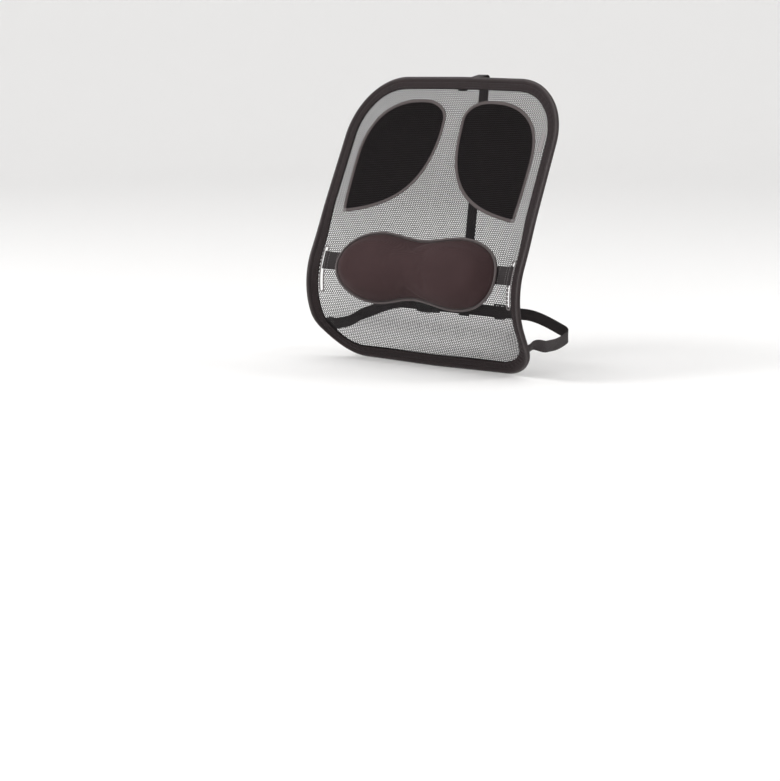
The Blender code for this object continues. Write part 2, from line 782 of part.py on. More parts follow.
def rim_stations(distance, lift, reach):
    """Places along the right-hand border, reach either way from the chair strap's anchor."""
    outline = evenly_spaced(border_outline(), 400, closed=True)
    directions = inward(outline)
    length = (outline[1] - outline[0]).length
    middle = min(
        (index for index in range(400) if outline[index].x > 0),
        key=lambda index: abs(outline[index].y - STRAP_ANCHOR_Z),
    )
    steps = round(reach / length)
    places = []
    for index in range(middle - steps, middle + steps + 1):
        flat = outline[index] + directions[index] * distance
        further = flat + directions[index] * 0.002
        centre = on_surface(flat.x, flat.y, lift)
        places.append((centre, (on_surface(further.x, further.y, lift) - centre).normalized()))
    return places


def anchor_frame():
    """Where the right strap is sewn on: place, direction to the rim, and along the rim."""
    places = rim_stations(ANCHOR_INSET, border_back(), 0.004)
    middle = len(places) // 2
    place, toward_middle = places[middle]
    upward = (places[-1][0] - places[0][0]).normalized()
    return place, -toward_middle, upward


def strap_stations(side, end_x):
    """The chair strap from its anchor, back beside the chair and along its rear to end_x.

    It leaves the border square to the border's back, then levels out beside the chair."""
    place, outward, upward = anchor_frame()
    back = outward.cross(upward).normalized()
    if back.y < 0:
        back = -back
    level = Vector((0, 0, 1))
    sewn = place + back * (PATCH_THICKNESS + ANCHOR_GAP + STRAP_THICKNESS / 2)
    start = sewn - outward * PATCH_WIDTH * 0.6
    bend = sewn + outward * 0.002
    leave = bend + outward * 0.006 + back * 0.008
    beside = Vector((STRAP_SIDE_X, leave.y + 0.034, STRAP_SIDE_Z))
    first = interpolate_bezier(bend, bend + outward * 0.0045, leave - back * 0.0045, leave, 6)
    second = interpolate_bezier(leave, leave + back * 0.012, beside - Vector((0, 0.014, 0)), beside, 6)
    stations = [(start, upward)] + [(point, upward) for point in first]
    for step, point in enumerate(second[1:]):
        stations.append((point, upward.lerp(level, (step + 1) / 5)))

    rear_y = STRAP_THICKNESS / 2
    corners = [
        (beside.x, beside.y, 0),
        (STRAP_SIDE_X, rear_y, STRAP_REAR_CORNER),
        (end_x, rear_y, 0),
    ]
    path = rounded_path(corners, closed=False, step=0.0035)
    fine = []
    for here, after in zip(path, path[1:]):
        pieces = max(1, math.ceil((after - here).length / 0.026))
        fine += [here.lerp(after, piece / pieces) for piece in range(pieces)]
    fine.append(path[-1])
    lengths = [0.0]
    for here, after in zip(fine, fine[1:]):
        lengths.append(lengths[-1] + (after - here).length)
    corner_length = rear_y - beside.y - STRAP_REAR_CORNER * (2 - math.pi / 2)
    rise_start = STRAP_RISE_FROM_Y - beside.y
    rise_end = corner_length + STRAP_SIDE_X - STRAP_LEVEL_X
    for length, point in list(zip(lengths, fine))[1:]:
        z = STRAP_SIDE_Z * (1.0 - smooth_step(length, rise_start, rise_end))
        stations.append((Vector((point.x, point.y, z)), level))
    mirror = Vector((side, 1, 1))
    return [(point * mirror, rough * mirror) for point, rough in stations]


def build_chair_straps(materials):
    plug_outer = BUCKLE_X + SOCKET_LENGTH / 2 + PLUG_REACH
    socket_outer = BUCKLE_X - SOCKET_LENGTH / 2
    right = strap_stations(1, plug_outer + STRAP_END_GAP)
    left = strap_stations(-1, -socket_outer + STRAP_END_GAP)
    ribbon("chair_strap_right", right, STRAP_WIDTH, STRAP_THICKNESS, materials["webbing"])
    ribbon("chair_strap_left", left, STRAP_WIDTH, STRAP_THICKNESS, materials["webbing"])
    for side, label in ((1, "right"), (-1, "left")):
        mirror = Vector((side, 1, 1))
        places = rim_stations(ANCHOR_INSET, border_back() - PATCH_THICKNESS / 2, PATCH_LENGTH / 2)
        stations = [(centre * mirror, across * mirror) for centre, across in places]
        ribbon("strap_anchor_patch_" + label, stations, PATCH_WIDTH, PATCH_THICKNESS, materials["patch"])


def extruded(name, outline, depth_from, depth_to, material, **options):
    """An (x, z) outline given depth along Y."""
    count = len(outline)
    points = [Vector((x, depth_from, z)) for x, z in outline] + [Vector((x, depth_to, z)) for x, z in outline]
    faces = [tuple(range(count)), tuple(range(2 * count - 1, count - 1, -1))]
    faces += [(i, (i + 1) % count, count + (i + 1) % count, count + i) for i in range(count)]
    return add_solid(name, points, faces, material, sharp_angle=30, **options)


def round_edges(solid, width, segments=2):
    rounding = solid.modifiers.new("edges", "BEVEL")
    rounding.width = width
    rounding.segments = segments
    rounding.limit_method = "ANGLE"
    rounding.angle_limit = math.radians(50)


def build_buckle(material):
    """Side-release buckle: the plug's middle tongue and two prongs sit inside the socket."""
    middle_y = STRAP_THICKNESS / 2
    low_x, high_x = BUCKLE_X - SOCKET_LENGTH / 2, BUCKLE_X + SOCKET_LENGTH / 2
    half_height, half_depth = SOCKET_HEIGHT / 2, SOCKET_DEPTH / 2
    waist = half_height * 0.86
    slot_half = STRAP_WIDTH / 2 + SLOT_PLAY
    outline = [
        (low_x, -STRAP_WIDTH / 2 - 0.002),
        (low_x + 0.010, -half_height),
        (high_x - 0.004, -half_height),
        (high_x, -waist),
        (high_x, waist),
        (high_x - 0.004, half_height),
        (low_x + 0.010, half_height),
        (low_x, STRAP_WIDTH / 2 + 0.002),
    ]
    socket = extruded("buckle_socket", outline, middle_y - half_depth, middle_y + half_depth, material)
    round_edges(socket, 0.0011)
    cavity_end = low_x + SOCKET_FLOOR
    cavity = add_box(
        "socket_cavity",
        (cavity_end, middle_y - half_depth + SOCKET_WALL, -half_height + SOCKET_WALL),
        (high_x + 0.01, middle_y + half_depth - SOCKET_WALL, half_height - SOCKET_WALL),
        material,
    )
    cut(socket, cavity)
    windows = add_box(
        "socket_windows",
        (low_x + 0.0135, middle_y - half_depth + SOCKET_WALL, -half_height - 0.01),
        (high_x - 0.0075, middle_y + half_depth - SOCKET_WALL, half_height + 0.01),
        material,
    )
    cut(socket, windows)
    slot = add_box(
        "socket_strap_slot",
        (low_x + SLOT_BAR, middle_y - half_depth - 0.01, -slot_half),
        (low_x + SLOT_BAR + SLOT_LENGTH, middle_y + half_depth + 0.01, slot_half),
        material,
    )
    cut(socket, slot)

    inside = half_height - SOCKET_WALL - GAP
    thick = half_depth - SOCKET_WALL - GAP
    shoulder = high_x + GAP
    end_x = high_x + PLUG_REACH
    tip_x = cavity_end + 0.003
    hip = half_height + 0.0008
    upper = [
        (end_x, STRAP_WIDTH / 2 + 0.0025),
        (shoulder + 0.001, half_height * 0.97),
        (shoulder, inside - 0.0010),
        (high_x - 0.0085, inside - 0.0008),
        (high_x - 0.0100, hip),
        (tip_x + 0.005, inside - 0.0002),
        (tip_x, inside - 0.0028),
        (tip_x, inside - 0.0028 - PRONG_WIDTH),
        (high_x - 0.004, inside - 0.0010 - PRONG_WIDTH),
        (shoulder + 0.0004, inside - 0.0010 - PRONG_WIDTH),
        (shoulder + 0.0004, TONGUE_HALF_WIDTH),
        (tip_x + 0.004, TONGUE_HALF_WIDTH),
    ]
    outline = upper + [(x, -z) for x, z in upper[::-1]]
    plug = extruded("buckle_plug", outline, middle_y - thick, middle_y + thick, material)
    plug_slot = add_box(
        "plug_strap_slot",
        (end_x - SLOT_BAR - SLOT_LENGTH, middle_y - 0.01, -slot_half),
        (end_x - SLOT_BAR, middle_y + 0.01, slot_half),
        material,
    )
    cut(plug, plug_slot)


def build_adjuster(material):
    """Slide bar on the chair strap: a frame and a middle bar behind the webbing."""
    near = STRAP_THICKNESS + GAP
    pivot = Vector((ADJUSTER_X, STRAP_THICKNESS / 2, 0.0))
    half_x, half_z = ADJUSTER_LENGTH / 2, ADJUSTER_HEIGHT / 2
    outline = [
        (corner.x, corner.y)
        for corner in rounded_path(
            [
                (ADJUSTER_X - half_x, -half_z, 0.003),
                (ADJUSTER_X + half_x, -half_z, 0.003),
                (ADJUSTER_X + half_x, half_z, 0.003),
                (ADJUSTER_X - half_x, half_z, 0.003),
            ],
            closed=True,
        )
    ]
    adjuster = extruded("strap_adjuster", outline, near, near + ADJUSTER_BAR, material, pivot=pivot)
    round_edges(adjuster, 0.0008)
    opening = (ADJUSTER_LENGTH - 3 * ADJUSTER_BAR) / 2
    for side, label in ((-1, "a"), (1, "b")):
        centre = ADJUSTER_X + side * (ADJUSTER_BAR + opening) / 2
        window = add_box(
            "adjuster_window_" + label,
            (centre - opening / 2, 0.0, -STRAP_WIDTH / 2 - SLOT_PLAY),
            (centre + opening / 2, 0.02, STRAP_WIDTH / 2 + SLOT_PLAY),
            material,
        )
        cut(adjuster, window)


def build_top_strap(materials):
    """From the back of the top border, over the backrest and down to a loop on the chair strap."""
    half = STRAP_THICKNESS / 2
    across = Vector((1, 0, 0))
    lift = -(bead_radius() + ANCHOR_GAP + half)
    low, high = (on_surface(0.0, TOP_Z - drop, lift) for drop in (0.022, 0.006))
    upward = (high - low).normalized()
    ends = []
    for drop in (ANCHOR_INSET + PATCH_WIDTH / 2, ANCHOR_INSET - PATCH_WIDTH / 2):
        height = TOP_Z - drop * math.cos(LEAN_ABOVE)
        ends.append((on_surface(0.0, height, border_back() - PATCH_THICKNESS / 2), across))
    ribbon("top_anchor_patch", ends, PATCH_LENGTH, PATCH_THICKNESS, materials["patch"])

    start = low
    knee = start + upward * ((TOP_STRAP_KNEE_Z - start.z) / upward.z)
    loop_half = STRAP_WIDTH / 2 + 0.0025
    corners = [
        (start.y, start.z, 0),
        (knee.y, knee.z, 0.008),
        (TOP_STRAP_BEND_Y, TOP_STRAP_BEND_Z, 0.006),
        (TOP_STRAP_LOWER_Y + half, loop_half + 0.030, 0.030),
        (STRAP_THICKNESS + GAP + half, loop_half + 0.006, 0.012),
        (STRAP_THICKNESS + GAP + half, -loop_half, 0.0016),
        (-GAP - half, -loop_half, 0.0014),
        (-GAP - half, loop_half - 0.0015, 0),
    ]
    path = rounded_path(corners, closed=False, step=0.002)
    stations = [(Vector((0.0, point.x, point.y)), across) for point in path]
    ribbon("top_strap", stations, STRAP_WIDTH, STRAP_THICKNESS, materials["webbing"])


def build_tag(material):
    """A blank woven tag sewn beside the border, on the mesh."""
    x = half_width_at(TAG_Z + TAG_LENGTH / 2, BORDER_WIDTH + TAG_GAP) - TAG_WIDTH / 2
    base = MESH_THICKNESS / 2 + TAPE_GAP
    sections = []
    for share in (-0.5, 0.0, 0.5):
        z = TAG_Z + TAG_LENGTH * share
        edges = (x - TAG_WIDTH / 2, x + TAG_WIDTH / 2)
        sections.append(
            [
                on_surface(edges[0], z, base),
                on_surface(edges[0], z, base + 0.0006),
                on_surface(edges[1], z, base + 0.0006),
                on_surface(edges[1], z, base),
            ]
        )
    swept_run("woven_tag", sections, material)


# ---------------------------------------------------------------- the whole object


def build():
    for leftover in list(bpy.data.objects):
        bpy.data.objects.remove(leftover, do_unlink=True)
    materials = {
        "wire": make_material("wire", (0.10, 0.10, 0.105), 0.35, 0.9),
        "border": make_material("border", (0.030, 0.026, 0.026), 0.62),
        "mesh": make_material("mesh", (0.016, 0.014, 0.015), 0.70),
        "wing": make_material("wing", (0.012, 0.011, 0.011), 0.85),
        "tape": make_material("tape", (0.105, 0.088, 0.088), 0.65),
        "cushion": make_material("cushion", (0.058, 0.040, 0.042), 0.85),
        "cushion_back": make_material("cushion_back", (0.020, 0.018, 0.018), 0.85),
        "foam": make_material("foam", (0.55, 0.52, 0.42), 0.95),
        "piping": make_material("piping", (0.150, 0.130, 0.130), 0.60),
        "webbing": make_material("webbing", (0.038, 0.033, 0.034), 0.70),
        "hook": make_material("hook", (0.020, 0.020, 0.020), 0.55),
        "loop": make_material("loop", (0.022, 0.022, 0.022), 0.95),
        "patch": make_material("patch", (0.030, 0.028, 0.028), 0.75),
        "plastic": make_material("plastic", (0.012, 0.012, 0.012), 0.38),
        "tag": make_material("tag", (0.150, 0.140, 0.140), 0.70),
    }
    places = loop_frames(border_outline())
    build_frame_wire(places, materials["wire"])
    build_border(places, materials["border"])
    build_mesh_panel(materials["mesh"])
    pivot = Vector((0.0, LUMBAR_AXIS_Y, LUMBAR_AXIS_Z))
    for side, label in ((-1, "left"), (1, "right")):
        build_wing(side, label, materials["wing"], materials["tape"])
        build_slit_binding(side, "slit_binding_" + label, materials["tape"])
    build_cushion(materials, pivot)
    build_cushion_webbing(materials, pivot)
    build_chair_straps(materials)
    build_buckle(materials["plastic"])
    build_adjuster(materials["plastic"])
    build_top_strap(materials)
    build_tag(materials["tag"])


build()
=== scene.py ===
# %% [markdown]
# # A mesh back support with a lumbar cushion
#
# The object hangs on the front of an office chair. A sprung wire loop carries a black net, which
# is sewn into a folded fabric border. Two taped wing shapes lie at shoulder-blade height, and a
# peanut-shaped cushion rides on the net by two webbing tabs.
#
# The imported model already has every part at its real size. This script keeps those places and
# makes the surfaces: the net thread by thread, sewn edges, stitches, webbing and a stuffed cushion.

# %% Load the frame
import math

import bmesh
import bpy
import numpy as np
from mathutils import Matrix, Vector
from mathutils.bvhtree import BVHTree
from mathutils.geometry import interpolate_bezier


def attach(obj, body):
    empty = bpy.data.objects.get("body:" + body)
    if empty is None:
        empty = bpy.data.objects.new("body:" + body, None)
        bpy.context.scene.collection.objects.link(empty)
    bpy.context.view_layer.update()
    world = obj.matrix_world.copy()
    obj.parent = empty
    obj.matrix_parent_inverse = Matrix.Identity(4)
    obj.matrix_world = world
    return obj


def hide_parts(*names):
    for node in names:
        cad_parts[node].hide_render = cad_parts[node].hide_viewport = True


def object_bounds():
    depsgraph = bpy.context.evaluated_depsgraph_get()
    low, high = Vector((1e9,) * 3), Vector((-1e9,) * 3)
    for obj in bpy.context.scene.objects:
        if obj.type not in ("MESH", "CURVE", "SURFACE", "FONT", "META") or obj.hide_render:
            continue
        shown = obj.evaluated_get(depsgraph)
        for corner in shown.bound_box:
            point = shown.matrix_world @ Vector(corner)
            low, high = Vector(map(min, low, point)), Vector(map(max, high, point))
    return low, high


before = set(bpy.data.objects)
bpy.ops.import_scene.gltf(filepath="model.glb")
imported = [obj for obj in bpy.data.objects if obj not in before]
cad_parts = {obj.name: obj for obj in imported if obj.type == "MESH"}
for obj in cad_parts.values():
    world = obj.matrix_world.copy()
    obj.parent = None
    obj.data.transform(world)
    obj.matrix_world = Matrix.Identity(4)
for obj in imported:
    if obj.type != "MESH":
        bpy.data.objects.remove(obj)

cad_low, cad_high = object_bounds()
print("CAD box", [round(v, 4) for v in cad_low], [round(v, 4) for v in cad_high])

# %% [markdown]
# ## The curved surface that everything lies on
#
# Seen from the side, the net is a straight lean, an arc at the lumbar curve and a second lean.
# It also sags behind its border. One function gives a point on that surface, lifted square off
# it by any distance, so the border, tapes, cushion and stitches all agree with each other. The
# sizes are the ones that the parts were built to, because a surface can't be read off a box.

# %% Sizes of the surface
LUMBAR_RADIUS = 0.125
LUMBAR_AXIS_Y = -0.0356
LUMBAR_AXIS_Z = 0.046
LEAN_ABOVE = math.radians(25.9)
LEAN_BELOW = math.radians(43.5)

MESH_SAG = 0.020
SAG_SQUARENESS = 5.2
SAG_END_BELOW_Z = -0.089
SAG_FULL_FROM_Z = -0.014
SAG_FULL_TO_Z = 0.112
UPPER_SAG = 0.006
UPPER_SAG_FROM_Z = 0.190
UPPER_SAG_TO_Z = 0.300
SAG_END_ABOVE_Z = 0.385

TOP_Z = 0.403
BOTTOM_Z = -0.091
HALF_WIDTH_BELOW = 0.2290
HALF_WIDTH_ABOVE = 0.2220
TOP_CORNER_RADIUS = 0.105
BOTTOM_CORNER_RADIUS = 0.078
EDGE_CROWN = 0.003
EDGE_CROWN_RADIUS = 2.0
BORDER_WIDTH = 0.0205


# %% The surface itself
def unit(vectors):
    """The same vectors, each one long."""
    return vectors / np.linalg.norm(vectors, axis=-1, keepdims=True)


def smooth_step(value, start, end):
    """Rises from 0 at start to 1 at end, level at both."""
    t = np.clip((np.asarray(value, float) - start) / (end - start), 0.0, 1.0)
    return t * t * (3.0 - 2.0 * t)


def net_sag(x, z):
    """How far the net lies behind the border's plane."""
    share = np.minimum(1.0, np.abs(x) / HALF_WIDTH_BELOW)
    rise = smooth_step(z, SAG_END_BELOW_Z, SAG_FULL_FROM_Z)
    change = smooth_step(z, SAG_FULL_TO_Z, UPPER_SAG_FROM_Z)
    fall = 1.0 - smooth_step(z, UPPER_SAG_TO_Z, SAG_END_ABOVE_Z)
    lumbar = MESH_SAG * (1.0 - share**SAG_SQUARENESS) * rise * (1.0 - change)
    return lumbar + UPPER_SAG * (1.0 - share**2) * change * fall


def surface_y(x, z):
    """The y of the net's surface at each x and z."""
    radius = LUMBAR_RADIUS - net_sag(x, z)
    above = LUMBAR_AXIS_Z + radius * math.sin(LEAN_ABOVE)
    below = LUMBAR_AXIS_Z - radius * math.sin(LEAN_BELOW)
    upper = LUMBAR_AXIS_Y - radius * math.cos(LEAN_ABOVE) + (z - above) * math.tan(LEAN_ABOVE)
    lower = LUMBAR_AXIS_Y - radius * math.cos(LEAN_BELOW) + (below - z) * math.tan(LEAN_BELOW)
    arc = LUMBAR_AXIS_Y - np.sqrt(np.maximum(0.0, radius**2 - (z - LUMBAR_AXIS_Z) ** 2))
    return np.where(z > above, upper, np.where(z < below, lower, arc))


def lay(x, z, lift=0.0):
    """Points on the surface, lifted square off it towards the sitter."""
    x, z, lift = np.broadcast_arrays(*(np.asarray(value, float) for value in (x, z, lift)))
    step = 0.0005
    slope_x = (surface_y(x + step, z) - surface_y(x - step, z)) / (2 * step)
    slope_z = (surface_y(x, z + step) - surface_y(x, z - step)) / (2 * step)
    normal = unit(np.stack([slope_x, -np.ones_like(slope_x), slope_z], axis=-1))
    return np.stack([x, surface_y(x, z), z], axis=-1) + normal * lift[..., None]


heights = np.linspace(BOTTOM_Z, TOP_Z, 800)
climb = np.r_[0.0, np.cumsum(np.hypot(np.diff(heights), np.diff(surface_y(0.0 * heights, heights))))]
print("length of the net up its middle", round(float(climb[-1]), 4))


# %% [markdown]
# ## Outlines
#
# The border is six straight or slightly crowned runs joined by arcs. A wing is four curves that
# meet in one sharp corner, and the cushion is two half ellipses with a waist. Each outline is
# walked at equal distances, so that stitches and weave keep an even scale.


# %% Outline helpers
def run_lengths(path):
    """The distance along a path at each of its points."""
    return np.r_[0.0, np.cumsum(np.linalg.norm(np.diff(path, axis=0), axis=1))]


def evenly_spaced(points, count, closed):
    """The same path with its points at equal distances."""
    path = np.asarray(points, float)
    if closed:
        path = np.vstack([path, path[:1]])
    lengths = run_lengths(path)
    stops = np.linspace(0.0, lengths[-1], count + 1 if closed else count)
    if closed:
        stops = stops[:-1]
    return np.stack([np.interp(stops, lengths, column) for column in path.T], axis=1)


def rounded_path(corners, closed, step=0.002):
    """Straight runs joined by arcs; each corner is (x, y, radius)."""
    points = []
    count = len(corners)
    for index, (x, y, radius) in enumerate(corners):
        here = Vector((x, y))
        if not closed and index in (0, count - 1):
            points.append(here)
            continue
        before = (Vector(corners[index - 1][:2]) - here).normalized()
        after = (Vector(corners[(index + 1) % count][:2]) - here).normalized()
        half_angle = before.angle(after) / 2
        start = here + before * radius / math.tan(half_angle)
        end = here + after * radius / math.tan(half_angle)
        centre = here + (before + after).normalized() * radius / math.sin(half_angle)
        turn = (start - centre).angle_signed(end - centre)
        pieces = max(2, math.ceil(abs(turn) * radius / step))
        for piece in range(pieces + 1):
            points.append(centre + Matrix.Rotation(-turn * piece / pieces, 2) @ (start - centre))
    return np.array([tuple(point) for point in points])


def inward(points):
    """The direction into a closed outline at each of its points."""
    along = np.roll(points, -1, axis=0) - np.roll(points, 1, axis=0)
    return unit(np.stack([-along[:, 1], along[:, 0]], axis=1))


def beside(path):
    """The direction square to an open path at each of its points."""
    along = np.gradient(path, axis=0)
    return unit(np.stack([-along[:, 1], along[:, 0]], axis=1))


# %% The border's outline
def half_width_at(z, inset=0.0):
    """Half the width of the border's outline drawn in by inset, at height z."""
    z = np.asarray(z, float)
    taper = (HALF_WIDTH_ABOVE - HALF_WIDTH_BELOW) * (z - BOTTOM_Z) / (TOP_Z - BOTTOM_Z)
    side = HALF_WIDTH_BELOW + taper
    top_centre = TOP_Z - EDGE_CROWN - TOP_CORNER_RADIUS
    bottom_centre = BOTTOM_Z + EDGE_CROWN + BOTTOM_CORNER_RADIUS
    radius = np.where(z > top_centre, TOP_CORNER_RADIUS, BOTTOM_CORNER_RADIUS)
    drop = np.maximum(0.0, np.maximum(z - top_centre, bottom_centre - z))
    curved = side - radius + np.sqrt(np.maximum(0.0, (radius - inset) ** 2 - drop**2))
    return np.where(drop > 0, curved, side - inset)


def border_outline(count):
    """The border's outer edge as (x, z), at equal distances."""
    top, bottom = TOP_Z - EDGE_CROWN, BOTTOM_Z + EDGE_CROWN
    corners = [
        (0.0, BOTTOM_Z, EDGE_CROWN_RADIUS),
        (HALF_WIDTH_BELOW, bottom, BOTTOM_CORNER_RADIUS),
        (HALF_WIDTH_ABOVE, top, TOP_CORNER_RADIUS),
        (0.0, TOP_Z, EDGE_CROWN_RADIUS),
        (-HALF_WIDTH_ABOVE, top, TOP_CORNER_RADIUS),
        (-HALF_WIDTH_BELOW, bottom, BOTTOM_CORNER_RADIUS),
    ]
    return evenly_spaced(rounded_path(corners, closed=True), count, closed=True)


print("half width at the lumbar axis", round(float(half_width_at(LUMBAR_AXIS_Z)), 4))

# %% Wing and cushion outlines
WING_CORNER = (0.1795, 0.1705)
WING_SIDE = (0.1835, 0.260)
WING_TOP = (0.0690, 0.3610)
WING_INNER = (0.0200, 0.329)
CUSHION_HALF_WIDTH = 0.1665
CUSHION_CENTRE_Z = 0.0780
LOBE_CENTRE_X = 0.084
LOBE_HALF_HEIGHT = 0.0550
WAIST_ABOVE = 0.0460
WAIST_BELOW = 0.0440


def wing_curve(steps):
    """Points round a wing from its sharp corner; each of its four curves takes some steps."""
    knots = (WING_CORNER, WING_SIDE, WING_TOP, WING_INNER)
    corner, flank, top, inner = (Vector(knot) for knot in knots)
    runs = [
        (corner, corner + Vector((0.0035, 0.028)), flank - Vector((0, 0.025)), flank),
        (flank, flank + Vector((0.001, 0.070)), top + Vector((0.070, 0.0015)), top),
        (top, top - Vector((0.025, 0)), inner + Vector((0, 0.020)), inner),
        (inner, inner - Vector((0.003, 0.118)), corner + Vector((-0.0925, 0.0125)), corner),
    ]
    points = []
    for run in runs:
        curve = interpolate_bezier(*[knot.to_3d() for knot in run], steps)
        points += [tuple(point)[:2] for point in curve[:-1]]
    return points


def wing_outline(side, count):
    """A wing's closed outline, with its sharp corner softened a little."""
    points = evenly_spaced(wing_curve(40), count, closed=True)
    for _ in range(4):
        points = (np.roll(points, 1, axis=0) + 2 * points + np.roll(points, -1, axis=0)) / 4
    if side > 0:
        return points
    return points[::-1] * np.array([-1.0, 1.0])


def cushion_outline(grow, count):
    """The cushion's seam line as (x, z), drawn outwards by grow."""
    angle = np.linspace(0.0, 2 * math.pi, 800, endpoint=False)
    sideways = np.abs(np.cos(angle))
    waist = np.where(np.sin(angle) >= 0, WAIST_ABOVE, WAIST_BELOW)
    swing = np.arccos(np.clip((sideways - 0.5) / 0.5, 0.0, 1.0))
    inner_x = LOBE_CENTRE_X * sideways / 0.5
    blend = (1 - np.cos(math.pi * inner_x / LOBE_CENTRE_X)) / 2
    end_x = LOBE_CENTRE_X + (CUSHION_HALF_WIDTH - LOBE_CENTRE_X) * np.cos(swing)
    x = np.where(sideways > 0.5, end_x, inner_x)
    side_height = waist + (LOBE_HALF_HEIGHT - waist) * blend
    height = np.where(sideways > 0.5, LOBE_HALF_HEIGHT * np.sin(swing), side_height)
    z = CUSHION_CENTRE_Z + np.copysign(height, np.sin(angle))
    points = np.stack([np.copysign(x, np.cos(angle)), z], axis=1)
    points = evenly_spaced(points, count, closed=True)
    return points - inward(points) * grow


# %% [markdown]
# ## Camera and light
#
# The support is seen from its front right, a little above, through a long lens. The camera comes
# first, because every later look depends on it. A round cove of pale paper gives one even floor
# and background from any side, and three large soft lamps do the rest.


# %% Camera
def linked(name, data):
    """A new object in the scene, at the origin."""
    made = bpy.data.objects.new(name, data)
    bpy.context.scene.collection.objects.link(made)
    return made


CAMERA_PLACE = Vector((2.112, -2.914, 0.483))
CAMERA_TURN = math.radians(38.0)
CAMERA_DIP = math.radians(9.93)
CAMERA_LENS = 94.96

camera_data = bpy.data.cameras.new("camera")
camera_data.lens = CAMERA_LENS
camera_data.sensor_width = 36.0
camera = linked("camera", camera_data)
forward = Vector(
    (
        -math.sin(CAMERA_TURN) * math.cos(CAMERA_DIP),
        math.cos(CAMERA_TURN) * math.cos(CAMERA_DIP),
        -math.sin(CAMERA_DIP),
    )
)
camera.location = CAMERA_PLACE
camera.rotation_euler = forward.to_track_quat("-Z", "Y").to_euler()
bpy.context.scene.camera = camera
print("camera", round(CAMERA_PLACE.length, 2), "m from the support")


# %% Floor and cove
FLOOR_Z = cad_low.z - 0.0006
COVE_RADIUS = 7.0
COVE_RISE = 2.5
COVE_HEIGHT = 6.0
COVE_TURNS = 96
PALE_PAPER = (0.90, 0.895, 0.89)
WORLD_STRENGTH = 0.86


def paper():
    """Plain pale paper for the floor, which isn't part of the object."""
    material = bpy.data.materials.new("pale_paper")
    material.use_nodes = True
    shader = material.node_tree.nodes["Principled BSDF"]
    shader.inputs["Base Color"].default_value = (*PALE_PAPER, 1.0)
    shader.inputs["Roughness"].default_value = 0.8
    return material


def cove():
    """A disc of floor whose rim curves up all round."""
    flat_reach = COVE_RADIUS - COVE_RISE
    profile = [(0.4, 0.0), (1.5, 0.0), (flat_reach, 0.0)]
    for step in range(1, 13):
        angle = math.pi / 2 * step / 12
        reach = flat_reach + COVE_RISE * math.sin(angle)
        profile.append((reach, COVE_RISE * (1 - math.cos(angle))))
    profile.append((COVE_RADIUS, COVE_HEIGHT))
    points = [(0.0, 0.0, FLOOR_Z)]
    for reach, rise in profile:
        for turn in range(COVE_TURNS):
            angle = 2 * math.pi * turn / COVE_TURNS
            points.append((reach * math.cos(angle), reach * math.sin(angle), FLOOR_Z + rise))
    faces = [(0, 1 + turn, 1 + (turn + 1) % COVE_TURNS) for turn in range(COVE_TURNS)]
    for row in range(len(profile) - 1):
        first = 1 + row * COVE_TURNS
        for turn in range(COVE_TURNS):
            here, after = first + turn, first + (turn + 1) % COVE_TURNS
            faces.append((here, here + COVE_TURNS, after + COVE_TURNS, after))
    mesh = bpy.data.meshes.new("floor")
    mesh.from_pydata(points, [], faces)
    mesh.materials.append(paper())
    mesh.shade_smooth()
    return linked("floor", mesh)


# %% Lamps and the plain surround
def lamp(name, place, target, size, power):
    """A round soft lamp; its size is in metres and its power in watts."""
    data = bpy.data.lights.new(name, "AREA")
    data.shape = "DISK"
    data.size = size
    data.energy = power
    made = linked(name, data)
    made.location = place
    made.rotation_euler = (Vector(target) - Vector(place)).to_track_quat("-Z", "Y").to_euler()


cove()
lamp("key", (-2.0, -2.6, 2.6), (0.0, -0.1, 0.15), 1.6, 74)
lamp("right_rim", (2.6, 1.2, 1.4), (0.1, -0.1, 0.15), 1.0, 34)
lamp("front_fill", (0.8, -3.4, 1.6), (0.0, -0.1, 0.15), 2.2, 10)

world = bpy.data.worlds.new("studio")
world.use_nodes = True
background = world.node_tree.nodes["Background"]
background.inputs["Color"].default_value = (1.0, 1.0, 1.0, 1.0)
background.inputs["Strength"].default_value = WORLD_STRENGTH
bpy.context.scene.world = world
# The plain transform keeps white paper white and black cloth black.
bpy.context.scene.view_settings.view_transform = "Standard"
print("floor at", round(FLOOR_Z, 4), "and a cove", COVE_RADIUS, "m round it")


# %% [markdown]
# ## Writing shaders as sums
#
# A weave is a sum of waves. Math nodes say that, but a page of node calls hides it. So one small
# class wraps a socket, and its operators add Math nodes: `ribs * 0.4 + grain` reads as what it is.
# Every other node comes from one method, which sets the node up and then fills its sockets.


# %% The shader helpers
def feed(tree, socket, value):
    """Links a value into a socket, or sets it there as a constant."""
    if isinstance(value, Wire):
        value = value.socket
    if isinstance(value, bpy.types.NodeSocket):
        tree.links.new(value, socket)
    else:
        socket.default_value = value


def add_node(tree, kind, settings=(), **sockets):
    """Adds a node, applies its settings, then fills sockets named by label, with _ for a space."""
    node = tree.nodes.new(kind)
    for label, value in dict(settings).items():
        setattr(node, label, value)
    for label, value in sockets.items():
        feed(tree, node.inputs[label.replace("_", " ")], value)
    return node


